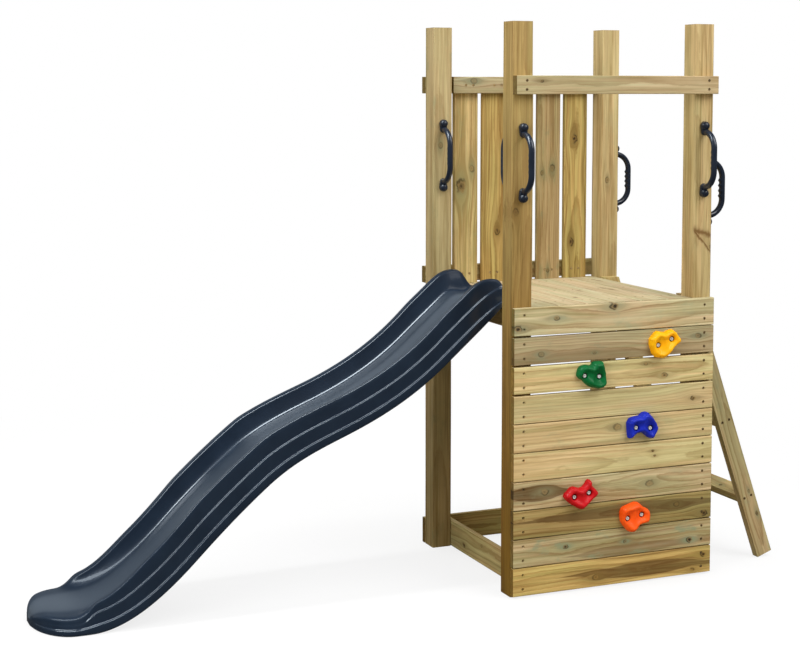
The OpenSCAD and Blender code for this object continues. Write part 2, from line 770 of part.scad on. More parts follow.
module hold_bolt_holes(tilt) {
    hold_bolt_places(tilt) translate([0, 0, -wall_t - 1])
        cylinder(d = bolt_d + 2 * hole_clear, h = wall_t + hold_depth + 2);
}

module climbing_hold(h) {
    color(h[5]) place() at_hold(h) difference() {
        for (lobe = h[6]) hull() {
            for (d = lobe[0]) translate([d[0], d[1], 0]) cylinder(r = d[2], h = hold_rim, $fn = hold_fn);
            for (d = lobe[1]) translate([d[0], d[1], hold_depth - d[2]]) sphere(d[2], $fn = hold_fn);
        }
        hold_bolt_places(h[4]) {
            translate([0, 0, -1]) cylinder(d = bolt_d + 2 * hole_clear, h = hold_depth + 2);
            translate([0, 0, hold_seat]) cylinder(d = bolt_head_d + 2, h = hold_depth);
        }
    }
}

module hold_bolt() {
    socket_d = bolt_head_d / 2;
    nut_d = bolt_d * 1.9;
    difference() {
        translate([0, 0, hold_seat]) cylinder(d = bolt_head_d, h = bolt_head_h);
        translate([0, 0, hold_seat + bolt_head_h / 2]) cylinder(d = socket_d, h = bolt_head_h, $fn = 6);
    }
    translate([0, 0, -wall_t - nut_h - 2]) cylinder(d = bolt_d, h = hold_seat + wall_t + nut_h + 2);
    translate([0, 0, -wall_t - nut_h]) cylinder(d = nut_d, h = nut_h, $fn = 6);
}

module hold_bolt_set() {
    color(steel) place() for (h = holds) at_hold(h) hold_bolt_places(h[4]) hold_bolt();
}

post(false, false);  // post_front_left
post(true, false);  // post_front_right
post(false, true);  // post_back_left
post(true, true);  // post_back_right
for (i = [0:wall_count - 1])
    wall_board(i);
front_top_rail();
back_top_rail_outer();
back_top_rail_inner();
back_lower_rail();
back_ground_rail();
left_ground_rail();
right_ground_rail();
for (i = [0:baluster_count - 1])
    baluster(i);
for (i = [0:deck_count - 1])
    deck_board(i);
deck_beam(false);  // deck_beam_left
deck_beam(true);  // deck_beam_right
for (i = [0:len(bearer_names) - 1])
    deck_bearer(i);
slide();
stringer(false);  // ladder_stringer_front
stringer(true);  // ladder_stringer_back
for (i = [0:tread_count - 1])
    ladder_tread(i);
for (h = handles)
    handle(h);
for (h = holds)
    climbing_hold(h);
hold_bolt_set();  // hold_bolts
handle_bolt_set();  // handle_bolts
wall_screw_set();  // wall_screws
frame_screw_set();  // frame_screws
slide_screw_set();  // slide_screws
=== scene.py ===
import json
import math
import random

import bmesh
import bpy
from mathutils import Matrix, Vector


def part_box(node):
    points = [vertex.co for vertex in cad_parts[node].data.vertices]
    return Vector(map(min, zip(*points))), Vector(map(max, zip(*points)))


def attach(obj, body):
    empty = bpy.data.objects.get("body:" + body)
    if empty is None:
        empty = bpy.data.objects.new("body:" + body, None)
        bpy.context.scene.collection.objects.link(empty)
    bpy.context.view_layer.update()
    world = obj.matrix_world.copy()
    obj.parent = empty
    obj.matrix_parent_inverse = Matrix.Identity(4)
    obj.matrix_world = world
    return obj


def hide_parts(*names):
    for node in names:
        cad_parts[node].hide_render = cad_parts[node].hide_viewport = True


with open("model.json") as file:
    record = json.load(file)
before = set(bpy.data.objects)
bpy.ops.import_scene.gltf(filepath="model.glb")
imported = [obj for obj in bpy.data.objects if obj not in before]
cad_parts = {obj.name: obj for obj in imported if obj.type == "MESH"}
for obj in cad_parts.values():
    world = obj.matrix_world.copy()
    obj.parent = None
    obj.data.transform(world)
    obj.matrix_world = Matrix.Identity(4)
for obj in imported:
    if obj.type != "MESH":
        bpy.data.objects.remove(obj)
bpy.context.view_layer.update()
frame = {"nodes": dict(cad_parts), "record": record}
cadNodes = frame["nodes"]
mm = 0.001
weldGap = 0.005 * mm  # corners of a CAD mesh this close are one
print("frame loaded:", len(cadNodes), "nodes")


# Shader maths: a Wire is a socket that takes part in sums, a Finish is one material
def operator(operation, swapped=False):
    def apply(self, other):
        pair = (other, self) if swapped else (self, other)
        return self.finish.node("Math", {"operation": operation}, dict(enumerate(pair)))
    return apply


class Wire:
    def __init__(self, finish, socket):
        self.finish = finish
        self.socket = socket

    __add__ = operator("ADD")
    __radd__ = operator("ADD", True)
    __sub__ = operator("SUBTRACT")
    __rsub__ = operator("SUBTRACT", True)
    __mul__ = operator("MULTIPLY")
    __rmul__ = operator("MULTIPLY", True)
    __truediv__ = operator("DIVIDE")
    __rtruediv__ = operator("DIVIDE", True)
    __pow__ = operator("POWER")


class Finish:
    def __init__(self, name, owner=None):
        self.material = owner or bpy.data.materials.new(name)
        self.material.use_nodes = True
        self.tree = self.material.node_tree
        self.tree.nodes.clear()

    def node(self, kind, settings=None, sockets=None, out=0):
        made = self.tree.nodes.new("ShaderNode" + kind)
        for key, value in (settings or {}).items():
            setattr(made, key, value)
        for key, value in (sockets or {}).items():
            if isinstance(value, Wire):
                self.tree.links.new(value.socket, made.inputs[key])
            else:
                made.inputs[key].default_value = value
        return Wire(self, made.outputs[out]) if made.outputs else made

    def parts(self, vector):
        return [self.node("SeparateXYZ", None, {0: vector}, i) for i in range(3)]

    def attribute(self, name, out="Vector"):
        return self.node("Attribute", {"attribute_name": name}, None, out)

    def objectPlace(self):
        return self.node("TexCoord", None, None, "Object")

    def stretched(self, vector, scale):
        return self.node("VectorMath", {"operation": "MULTIPLY"}, {0: vector, 1: scale})

    def noise(self, vector, scale, detail=2.0, rough=0.5, out="Fac"):
        return self.node("TexNoise", None,
                         {"Vector": vector, "Scale": scale, "Detail": detail, "Roughness": rough}, out)

    def band(self, value, low, high):
        return self.node("MapRange", {"interpolation_type": "SMOOTHSTEP"},
                         {"Value": value, "From Min": low, "From Max": high})

    def one(self, operation, value):
        return self.node("Math", {"operation": operation}, {0: value})

    def fade(self, value):
        return self.one("EXPONENT", 0.0 - value)

    def ripple(self, value, detail):
        return self.node("TexNoise", {"noise_dimensions": "1D"},
                         {"W": value, "Scale": 1.0, "Detail": detail})

    def larger(self, first, second):
        return self.node("Math", {"operation": "MAXIMUM"}, {0: first, 1: second})

    def blend(self, share, first, second, mode="MIX"):
        return self.node("Mix", {"data_type": "RGBA", "blend_type": mode, "clamp_factor": True},
                         {0: share, 6: first, 7: second}, 2)

    def surface(self, colour, roughness, height=None, depth=0.0004, strength=0.4, **fixed):
        sockets = {"Base Color": colour, "Roughness": roughness}
        sockets.update({key.replace("_", " "): value for key, value in fixed.items()})
        if height is not None:
            sockets["Normal"] = self.node("Bump", None,
                                          {"Strength": strength, "Distance": depth, "Height": height})
        shader = self.node("BsdfPrincipled", None, sockets)
        self.node("OutputMaterial", None, {"Surface": shader})
        return self.material


def tint(red, green, blue):
    def toLinear(c):
        c = c / 255
        return c / 12.92 if c <= 0.04045 else ((c + 0.055) / 1.055) ** 2.4
    return (toLinear(red), toLinear(green), toLinear(blue), 1.0)


def ease(u):
    u = min(1.0, max(0.0, u))
    return u * u * (3 - 2 * u)


def mix(a, b, share):
    return a + (b - a) * share


def rounded(e):
    c = 1 - min(1.0, max(0.0, e))
    return math.sqrt(1 - c * c)


def vertsOf(geom):
    return [g for g in geom if isinstance(g, bmesh.types.BMVert)]


def edgesOf(geom):
    return [g for g in geom if isinstance(g, bmesh.types.BMEdge)]


def corners(points):
    low = Vector([min(p[i] for p in points) for i in range(3)])
    high = Vector([max(p[i] for p in points) for i in range(3)])
    return low, high


def cadCopy(name):
    bm = bmesh.new()
    bm.from_mesh(cadNodes[name].data)
    bmesh.ops.remove_doubles(bm, verts=bm.verts, dist=weldGap)
    return bm


def smoothAll(bm):
    for face in bm.faces:
        face.smooth = True


def meshOf(name, bm):
    mesh = bpy.data.meshes.new(name)
    bm.to_mesh(mesh)
    bm.free()
    return mesh


def addObject(name, data):
    made = bpy.data.objects.new(name, data)
    bpy.context.scene.collection.objects.link(made)
    return made


def addPiece(name, bm, material, slot, *replaced):
    mesh = meshOf(name, bm)
    mesh.materials.append(material)
    piece = addObject(name, mesh)
    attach(piece, "root")
    if replaced:
        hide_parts(*replaced)
    return piece


# Pressure-treated pine: growth rings round a heart that lies beside each board. The fibres part
# round every knot as a stream parts round a stone
pineLook = {
    "early": tint(207, 191, 147), "late": tint(150, 119, 70), "heartwood": tint(128, 100, 58),
    "stain": tint(150, 162, 126), "zone": tint(100, 72, 34), "check": tint(80, 60, 34),
    "scar": tint(118, 82, 36), "knotDark": tint(84, 58, 30), "knotLight": tint(166, 136, 84),
    "knotRing": tint(44, 32, 18), "halo": tint(156, 122, 66), "cool": (1.0, 1.02, 1.16, 1.0),
    # the end-face tint is end grain's own colour and painted shade as well
    "warm": (1.05, 0.92, 0.55, 1.0), "endGrainAndShade": (0.36, 0.29, 0.12, 1.0),
    # the foot tint is painted shade, darker and warmer towards a board's foot
    "footShadeTint": (0.47, 0.335, 0.07, 1.0), "pale": (1.2, 1.21, 1.25, 1.0),
    "dark": (0.7, 0.635, 0.51, 1.0), "greenish": (0.93, 1.03, 0.97, 1.0),
    "pinkish": (1.05, 0.965, 0.94, 1.0), "plain": (1, 1, 1, 1),
    # noises: cycles to a metre along and across the board, then detail and roughness
    "noises": {
        "ragged": (60, 90, 3, 0.6), "wander": (1.5, 4, 2, 0.5), "wobble": (26, 55, 3, 0.6),
        "fibre": (5, 250, 4, 0.7), "fine": (2.6, 110, 4, 0.65), "streak": (0.9, 40, 3, 0.6),
        "patch": (3.4, 15, 3, 0.6), "broadHue": (2.0, 9, 2, 0.5), "narrowHue": (1.6, 64, 3, 0.6),
        "rolled": (17, 0.7, 1, 0.4), "blotch": (8, 17, 4, 0.65), "check": (3.2, 170, 1, 0.5),
    },
    "knotNames": ("knotOne", "knotTwo", "knotThree"), "seedShift": (3.7, 1.3, 2.1),
    "wanderAcross": 22 * mm, "wanderThrough": 38 * mm, "ringPitch": 7.2 * mm,
    "turnsRate": 46, "groupsRate": 85, "contourRate": 52,
    # knots: a long oval that parts the fibres, its dark rim and how far its halo and tail reach
    "partLong": 0.14, "partPush": 1.3, "ovalLong": 0.5, "rimRagged": 1.1, "rimAt": 0.78, "rimSharp": 5.0,
    "rimTurn": 44.0, "coreTight": 9.0, "eyeTight": 5.0, "haloReach": 1.6, "tailWide": 1.1, "tailLong": 0.03,
    "flameWide": 26 * mm, "flameTip": 5 * mm, "flameRagged": 12 * mm, "flameEdge": 1.6 * mm,
    "scarLow": 1.1, "scarHigh": 0.3, "scarThin": 5.5 * mm, "scarThick": 10 * mm, "scarFade": 6 * mm,
    "scarRagged": 18 * mm, "scarFrom": -33 * mm, "scarTo": -24 * mm,
    "endDepth": 0.5 * mm, "bumpDepth": 0.4 * mm,
    # marks on the wood in the order they are laid, each with its strength and colour
    "marks": {"zone": (0.78, "zone"), "tail": (0.55, "zone"), "halo": (0.4, "halo"),
              "blotch": (0.5, "stain"), "haloStain": (0.75, "stain"), "check": (0.4, "check"),
              "scar": (0.95, "scar")},
    "swing": {"streak": 2.5, "fine": 2.1, "fibre": 1.8, "patch": 1.0, "groups": 1.2, "rolled": 0.15},
    "shadeBase": 0.42,
}


def treatedPine():
    look = pineLook
    f = Finish("treatedPine")
    along, across, through = f.parts(f.attribute("grain"))
    heartAcross, heartThrough, seed = f.parts(f.attribute("heart"))
    value, warmth, stainShare = f.parts(f.attribute("tone"))
    zoneAlong, zoneLong, zoneShare = f.parts(f.attribute("zone"))
    figure, halfLength, streaks = f.parts(f.attribute("make"))
    footShadeShare, footShadeLow, footShadeHigh = f.parts(f.attribute("footShade"))
    scarAlong, scarAcross, scarShare = f.parts(f.attribute("scar"))
    hueBase, hueSwing = f.parts(f.attribute("hue"))[:2]

    def seeded(*axes):
        return f.node("CombineXYZ", None, {i: axes[i] + seed * look["seedShift"][i] for i in range(3)})

    def layer(name, vector, out="Fac"):
        alongRate, acrossRate, detail, rough = look["noises"][name]
        return f.noise(f.stretched(vector, (alongRate, acrossRate, acrossRate)), 1, detail, rough, out)

    def dyed(colour, share, first, second):
        return f.blend(1.0, colour, f.blend(share, look[first], look[second]), "MULTIPLY")

    still = seeded(along, across, through)
    ragged = layer("ragged", still)
    core = coreRing = eye = edge = halo = tail = 0.0
    flow = across
    styles = f.parts(f.attribute("knotStyle"))
    for name, style in zip(look["knotNames"], styles):
        knotAlong, knotAcross, knotSize = f.parts(f.attribute(name))
        away = (along - knotAlong) / knotSize
        aside = (across - knotAcross) / knotSize
        awaySquare, asideSquare = away * away, aside * aside
        reach = awaySquare * look["partLong"] + asideSquare
        flow = flow - aside * knotSize * look["partPush"] / f.larger(reach, look["partPush"])
        rim = (awaySquare * look["ovalLong"] + asideSquare) ** 0.5 + (ragged - 0.5) * look["rimRagged"]
        core = f.larger(core, (1.0 - f.band(rim, 0.5, 1.0)) * (1.0 - style * 0.4))
        coreRing = f.larger(coreRing, f.fade(rim * rim * look["coreTight"]) * (1.3 - style))
        openEye = 1.0 - f.band(style, 0.1, 0.45)
        eye = f.larger(eye, f.fade(rim * rim * look["eyeTight"]) * openEye)
        turn = style * look["rimTurn"]
        lit = f.band(away * f.one("SINE", turn) + aside * f.one("COSINE", turn), -0.6, 0.5)
        line = (rim - look["rimAt"]) * look["rimSharp"]
        edge = f.larger(edge, f.fade(line * line) * ((1.0 - style) * lit * 0.85 + style * 0.4))
        halo = f.larger(halo, f.fade(reach / look["haloReach"]))
        tail = f.larger(tail, f.fade(asideSquare * look["tailWide"] + awaySquare * look["tailLong"]))

    spot = seeded(along, flow, through)
    wander = f.parts(layer("wander", spot, "Color"))
    wobble, fibre, fine, streak, patch, rolled = (
        layer(name, spot) for name in ("wobble", "fibre", "fine", "streak", "patch", "rolled"))
    ringAcross = flow - heartAcross + (wander[0] - 0.5) * look["wanderAcross"]
    ringThrough = through - heartThrough + (wander[1] - 0.5) * look["wanderThrough"]
    radius = (ringAcross * ringAcross + ringThrough * ringThrough) ** 0.5
    turns = f.ripple(radius * look["turnsRate"] + seed, 1.0)
    groups = f.ripple(radius * look["groupsRate"] + seed * 5.0, 2.0)
    contour = f.ripple(radius * look["contourRate"] + seed * 7.0, 1.0)
    phase = f.one("FRACT", radius / look["ringPitch"] + turns * 1.6 + wobble * 0.4)
    late = phase ** 3.0 * (1.0 - f.band(phase, 0.88, 1.0))

    # Dark heartwood shows as a flame over the heart and in bands beside it
    zoneAway = (along - zoneAlong) / zoneLong
    window = f.fade(zoneAway * zoneAway)
    flame = f.one("ABSOLUTE", ringAcross) + (fine - 0.5) * look["flameRagged"]
    flame = flame + look["flameTip"] - window * look["flameWide"]
    flame = 1.0 - f.band(flame, -look["flameEdge"], look["flameEdge"])
    flame = f.larger(flame, f.band(contour + (fine - 0.5) * 0.3, 0.5, 0.62) * window * 0.7)
    zone = flame * (0.5 + fibre) * zoneShare

    # A branch scar is two dark limbs from one fork, with a faint fill between them
    fork = along - scarAlong + (ragged - 0.5) * look["scarRagged"]
    fromFork = across - scarAcross
    lowLimb = (fork + fromFork * look["scarLow"]) / look["scarThin"]
    highLimb = (fork + fromFork * look["scarHigh"]) / look["scarThick"]
    between = f.band(lowLimb, 0.0, 1.0) * (1.0 - f.band(highLimb, -1.0, 0.0))
    scar = f.larger(f.fade(lowLimb * lowLimb) * (0.4 + fine), between * (0.05 + fine * 0.3))
    scar = f.larger(scar, f.fade(highLimb * highLimb) * 0.9)
    scar = scar * f.band(fromFork, 0.0, look["scarFade"]) * scarShare
    scar = scar * (1.0 - f.band(through, look["scarFrom"], look["scarTo"]))

    blotch = f.band(layer("blotch", still), 0.54, 0.7) * stainShare
    check = f.band(layer("check", spot), 0.74, 0.8)
    weight = look["swing"]
    swing = (streak - 0.5) * weight["streak"] + (fine - 0.5) * weight["fine"]
    swing = swing + (fibre - 0.5) * weight["fibre"] + (patch - 0.5) * weight["patch"]
    shade = look["shadeBase"] - swing * streaks - (groups - 0.5) * figure * weight["groups"]
    shade = shade - (rolled - 0.5) * weight["rolled"]
    hue = f.band(layer("broadHue", spot) + layer("narrowHue", spot), 0.82, 1.18)
    # End faces darken: end grain's own colour, and painted shade as well
    endGrainShadeShare = f.one("ABSOLUTE", along) - halfLength
    endGrainShadeShare = f.band(endGrainShadeShare, -look["endDepth"], -0.2 * look["endDepth"])
    # Painted shade: the board darkens and warms towards its foot
    footShade = (1.0 - f.band(along, footShadeLow, footShadeHigh)) * footShadeShare

    colour = f.blend(late * (0.6 + patch * 0.8) * figure, look["early"], look["late"])
    colour = f.blend(f.band(streak, 0.52, 0.74) * 0.45, colour, look["heartwood"])
    colour = dyed(colour, shade, "pale", "dark")
    colour = dyed(colour, hueBase + (hue - 0.5) * hueSwing, "greenish", "pinkish")
    marks = {"zone": zone, "tail": tail * f.band(fine, 0.47, 0.62), "halo": halo, "blotch": blotch,
             "haloStain": halo * stainShare, "check": check, "scar": scar}
    for mark, (strength, tone) in look["marks"].items():
        colour = f.blend(marks[mark] * strength, colour, look[tone])
    colour = f.blend(core * 0.8, colour, f.blend(coreRing, look["knotLight"], look["knotDark"]))
    colour = f.blend(f.larger(edge, eye * 0.9), colour, look["knotRing"])
    colour = dyed(colour, endGrainShadeShare, "plain", "endGrainAndShade")
    colour = dyed(colour, warmth, "cool", "warm")
    colour = dyed(colour, footShade, "plain", "footShadeTint")
    colour = f.node("VectorMath", {"operation": "SCALE"}, {0: colour, "Scale": value})
    roughness = 0.62 + fibre * 0.2 - core * 0.12
    height = fibre * 0.5 + late * 0.35 - check * 0.8 - edge * 0.5
    return f.surface(colour, roughness, height, look["bumpDepth"], 0.45, Specular_IOR_Level=0.3)


pine = treatedPine()
print("pine finish made")

# Boards: tone is value, warmth and stain; heart is across and through from the board's middle in
# millimetres; knots are along, across and radius in millimetres, then style from dark to pale;
# zone is along and long in millimetres, then share; the foot's painted shade and the scar are in metres
boards = {
    "seed": 41, "bowStep": 55 * mm, "edgeWave": 0.5 * mm, "edgeFrom": 0.6, "lean": math.radians(19.3),
    "waveRate": (5, 11), "waveStart": (0, 6.28), "heartSeed": (0, 6), "cutGap": 1e-6, "flatFace": 0.999,
    "tiltedNodes": ("ladder_stringer", "ladder_tread"), "farKnot": (9000, 0, 10, 1),
    "openSeams": {
        "wall_board_10": {"low": (2.0, -0.6)}, "wall_board_9": {"low": (2.0, 2.0), "high": (1.8, -0.6)},
        "wall_board_8": {"low": (2.1, 2.1), "high": (2.0, 2.0)}, "wall_board_7": {"high": (2.0, 2.0)},
    },
    "plainLook": {"figure": 0.85, "streaks": 0.6, "zone": (0, 100, 0), "footShade": (0, -1, 1),
                  "scar": (0, 0, 0), "hue": (0.5, 0.85)},
    "postLook": {"figure": 0.45, "hue": (0.72, 0.45)},
    "looks": {
        "wall_board_10": {"tone": (0.94, 0.1, 0.8), "heart": (8, 62),
                          "streaks": 0.8, "zone": (20, 110, 0.12),
                          "knots": [(-8, 36, 13, 0.1), (-215, 8, 9, 0.35), (-350, -20, 12, 0.15)]},
        "wall_board_9": {"tone": (0.72, 0.15, 0.8), "heart": (-30, 48), "zone": (-120, 420, 0.4),
                         "knots": [(304, 14, 9, 0.45), (-268, -11, 9, 0.8), (-79, -18, 5, 0.5)]},
        "wall_board_8": {"tone": (1.07, 0.42, 0.4), "heart": (2, 54),
                         "streaks": 0.85, "zone": (110, 80, 0.2),
                         "knots": [(179, -17, 10, 0.3), (108, 26, 6, 0.5)]},
        "wall_board_7": {"tone": (0.92, 0.36, 0.2), "heart": (58, 52), "figure": 0.55,
                         "knots": [(289, -8, 8, 0.1)]},
        "wall_board_6": {"tone": (0.96, 0.38, 0.5), "heart": (-48, 60),
                         "zone": (-10, 70, 0.12), "figure": 0.6, "knots": [(7, 10, 12, 0.7)]},
        "wall_board_5": {"tone": (1.05, 0.38, 0.2), "heart": (-8, 80),
                         "zone": (55, 55, 0.1), "figure": 0.6,
                         "knots": [(139, 13, 5, 0.0), (146, -4, 5, 0.0)]},
        "wall_board_4": {"tone": (0.86, 0.2, 0.6), "heart": (4, 50),
                         "streaks": 1.0, "zone": (-290, 130, 1.1),
                         "knots": [(-253, 8, 11, 0.35), (128, 0, 12, 0.7)]},
        "wall_board_3": {"tone": (0.57, 0.85, 0.4), "heart": (10, 44),
                         "streaks": 0.8, "zone": (60, 360, 0.8),
                         "knots": [(231, 12, 9, 0.8), (336, -28, 11, 0.05)]},
        "wall_board_2": {"tone": (0.81, 0.24, 1.5), "heart": (-22, 46),
                         "streaks": 1.0, "zone": (60, 200, 0.6),
                         "knots": [(-178, 7, 8, 0.2), (282, -20, 10, 0.1), (40, 0, 6, 0.4)]},
        "wall_board_1": {"tone": (0.88, 0.95, 0.2), "heart": (-4, 40),
                         "streaks": 0.95, "zone": (130, 260, 1.0),
                         "knots": [(-67, -14, 9, 0.4), (336, 16, 9, 0.1), (294, -30, 7, 0.3)]},
        "baluster_5": {"tone": (0.7, 0.98, 0.3), "hue": (0.65, 0.8), "heart": (0, 42), "streaks": 1.2,
                       "knots": [(140, -8, 13, 0.0), (-230, -18, 12, 0.0)]},
        "baluster_4": {"tone": (0.6, 0.6, 0.9), "hue": (0.75, 0.7), "heart": (-40, 30), "streaks": 1.8,
                       "zone": (100, 260, 0.15),
                       "knots": [(35, 14, 11, 0.45), (-328, -2, 7, 0.4), (20, -26, 7, 0.5)]},
        "baluster_2": {"tone": (0.71, 1.0, 0.2), "hue": (0.65, 0.7), "heart": (30, 36), "streaks": 1.2,
                       "knots": [(-180, 14, 12, 0.25)]},
        "baluster_1": {"tone": (0.99, 0.6, 0.8), "hue": (0.35, 0.8), "heart": (-10, 40), "streaks": 1.4,
                       "zone": (0, 200, 0.12), "knots": [(-20, -18, 20, 0.2), (40, 22, 11, 0.7)]},
        "post_front_left": {"tone": (0.61, 0.9, 0.1), "heart": (16, 46), "streaks": 1.3,
                            "footShade": (1.0, -0.75, 0.95),
                            "knots": [(313, -22, 10, 0.6), (-330, 6, 11, 0.5)]},
        "post_front_right": {"tone": (0.81, 0.52, 0.3), "heart": (-20, 44), "streaks": 1.2,
                             "footShade": (0.12, -0.6, 0.8),
                             "scar": (0.238, -0.036, 1.0), "knots": [(180, 30, 5, 0.6)]},
        "post_back_right": {"tone": (0.79, 0.48, 0.4), "heart": (24, 40), "streaks": 1.25,
                            "footShade": (0.2, -0.3, 0.9), "knots": [(367, -10, 9, 0.5)]},
        "post_back_left": {"tone": (0.7, 0.42, 0.8), "heart": (-14, 48), "streaks": 1.0,
                           "hue": (0.55, 0.4), "footShade": (0.5, -0.75, 0.45),
                           "knots": [(-250, 10, 9, 0.6), (500, -8, 9, 0.7)]},
        "front_top_rail": {"tone": (0.8, 0.15, 0.2), "heart": (26, 60), "figure": 0.6,
                           "knots": [(-277, 12, 6, 0.2)]},
        "back_ground_rail": {"tone": (0.66, 0.95, 0.3), "heart": (-12, 40), "knots": [(150, 10, 8, 0.3)]},
        "back_top_rail_inner": {"tone": (0.7, 0.12, 1.0), "heart": (-18, 34),
                                "knots": [(-201, 14, 10, 0.8)]},
    },
    # the boards without a look of their own draw one from these ranges
    "ranges": {
        "knotAlong": (-0.45, 0.45), "knotAcross": (-20, 20), "knotSize": (5, 9), "value": (0.74, 0.9),
        "warmth": (0.25, 0.75), "stain": (0.1, 0.6), "heartAcross": (-30, 30), "heartThrough": (38, 70),
        "zoneAlong": (-0.4, 0.4), "zoneLong": (0.1, 0.3), "zoneShare": (0, 0.25), "deckValue": (0.78, 0.86),
    },
    "knotCounts": (1, 2, 2, 3), "ladderTone": {"value": 0.95, "warmth": 0.9, "stain": 0.9},
    "deckTone": {"warmth": 0.0, "stain": 0.1, "figure": 0.4},
}


def boardAxes(name):
    low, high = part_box(name)
    size = high - low
    order = sorted(range(3), key=lambda i: -round(size[i], 4))
    if name.startswith("ladder_stringer"):
        order = [2, 0, 1]
    return order


def seededLook(name):
    dice = random.Random("%s %d" % (name, boards["seed"]))
    low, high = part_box(name)
    length = max(high - low) / mm

    def draw(key):
        return dice.uniform(*boards["ranges"][key])

    knots = [(draw("knotAlong") * length, draw("knotAcross"), draw("knotSize"), dice.random())
             for _ in range(dice.choice(boards["knotCounts"]))]
    value, warmth, stain = draw("value"), draw("warmth"), draw("stain")
    heart = (draw("heartAcross"), dice.choice((-1, 1)) * draw("heartThrough"))
    zone = (draw("zoneAlong") * length, draw("zoneLong") * length, draw("zoneShare"))
    look = {"tone": (value, warmth, stain), "heart": heart, "knots": knots, "zone": zone}
    if name.startswith("ladder"):
        ladder = boards["ladderTone"]
        look["tone"] = (value * ladder["value"], warmth * ladder["warmth"], ladder["stain"])
    if name.startswith("deck_board"):
        deck = boards["deckTone"]
        look["tone"] = (draw("deckValue"), deck["warmth"], deck["stain"])
        look["figure"] = deck["figure"]
        look["zone"] = (0, length, 0)
    return look


def timberPiece(name):
    dice = random.Random("edge %s" % name)
    look = dict(boards["plainLook"])
    if name.startswith("post"):
        look.update(boards["postLook"])
    look.update(boards["looks"].get(name) or seededLook(name))
    tilted = name.startswith(boards["tiltedNodes"])
    upright = Matrix.Rotation(boards["lean"] if tilted else 0.0, 4, "Y")
    bm = cadCopy(name)
    bmesh.ops.transform(bm, matrix=upright, verts=bm.verts)
    along, across, through = boardAxes(name)
    low, high = corners([v.co for v in bm.verts])
    middle = (low + high) / 2
    half = (high - low) / 2
    normal = Vector([float(i == along) for i in range(3)])
    cuts = int(2 * half[along] / boards["bowStep"])
    for i in range(1, cuts):
        at = middle + normal * (2 * half[along] * i / cuts - half[along])
        bmesh.ops.bisect_plane(bm, geom=bm.verts[:] + bm.edges[:] + bm.faces[:], dist=boards["cutGap"],
                               plane_co=at, plane_no=normal)

    # The two long edges draw in a little, so that seams open and close along a board
    seams = boards["openSeams"].get(name, {})
    waves = [(dice.uniform(*boards["waveRate"]), dice.uniform(*boards["waveStart"])) for _ in range(2)]
    for v in bm.verts:
        u = v.co[along] - middle[along]
        share = (v.co[across] - middle[across]) / half[across]
        rate, start = waves[0] if share > 0 else waves[1]
        draw = boards["edgeWave"] * (0.5 + 0.5 * math.sin(rate * u + start))
        left, right = seams.get("high" if share > 0 else "low", (0, 0))
        draw = max(0.0, draw + mix(left, right, 0.5 + 0.5 * u / half[along]) * mm)
        outer = max(0.0, abs(share) - boards["edgeFrom"]) / (1 - boards["edgeFrom"])
        v.co[across] -= outer * math.copysign(draw, share)

    # Every vertex carries its place in the board and the board's own look
    knots = (look["knots"] + [boards["farKnot"]] * 3)[:3]
    heartAcross, heartThrough = look["heart"]
    zoneAlong, zoneLong, zoneShare = look["zone"]
    fixed = {
        "heart": (heartAcross * mm, heartThrough * mm, dice.uniform(*boards["heartSeed"])),
        "zone": (zoneAlong * mm, zoneLong * mm, zoneShare),
        "make": (look["figure"], half[along], look["streaks"]), "tone": look["tone"],
        "footShade": look["footShade"], "scar": look["scar"], "hue": (*look["hue"], 0),
        "knotStyle": [knot[3] for knot in knots],
    }
    fixed.update((key, Vector(knot[:3]) * mm) for key, knot in zip(pineLook["knotNames"], knots))
    grain = bm.verts.layers.float_vector.new("grain")
    layers = {key: bm.verts.layers.float_vector.new(key) for key in fixed}
    for v in bm.verts:
        v[grain] = [v.co[axis] - middle[axis] for axis in (along, across, through)]
        for key, layer in layers.items():
            v[layer] = fixed[key]
    for face in bm.faces:
        face.smooth = max(abs(c) for c in face.normal) < boards["flatFace"]
    bmesh.ops.transform(bm, matrix=upright.inverted(), verts=bm.verts)
    return addPiece("timber_" + name, bm, pine, "treated_pine", name)


timberNames = [part["node"] for part in frame["record"]["subparts"]
               if part["material_slot"] == "treated_pine"]
for timberName in timberNames:
    timberPiece(timberName)
print("timber pieces made:", len(timberNames))


# Moulded plastics and metals
plastics = {
    # the slide's lighter floor colour is wear together with painted sheen
    "slideNavy": {"colour": tint(22, 34, 49), "sheen": tint(27, 40, 56), "wornAndSheen": tint(74, 83, 93),
                  "roughness": 0.4, "gloss": 0.17, "coat": 1.0, "pebbles": 900, "pebbleDeep": 0.06 * mm},
    "handleNavy": {"colour": tint(24, 32, 46), "sheen": tint(32, 41, 56),
                   "roughness": 0.32, "gloss": 0.4, "coat": 0.5, "pebbles": 1500, "pebbleDeep": 0.12 * mm},
    "capNavy": {"colour": tint(24, 30, 43), "sheen": tint(32, 39, 53),
                "roughness": 0.38, "gloss": 0.4, "coat": 0.3, "pebbles": 1500, "pebbleDeep": 0.12 * mm},
}
metals = {
    "boltZinc": {"bright": tint(240, 240, 238), "dull": tint(222, 222, 222), "rough": 0.3, "metallic": 0.2},
    "screwBronze": {"bright": tint(124, 102, 66), "dull": tint(88, 70, 44), "rough": 0.45, "metallic": 0.3},
    "screwTan": {"bright": tint(168, 142, 94), "dull": tint(150, 124, 78), "rough": 0.6, "metallic": 0.0},
}


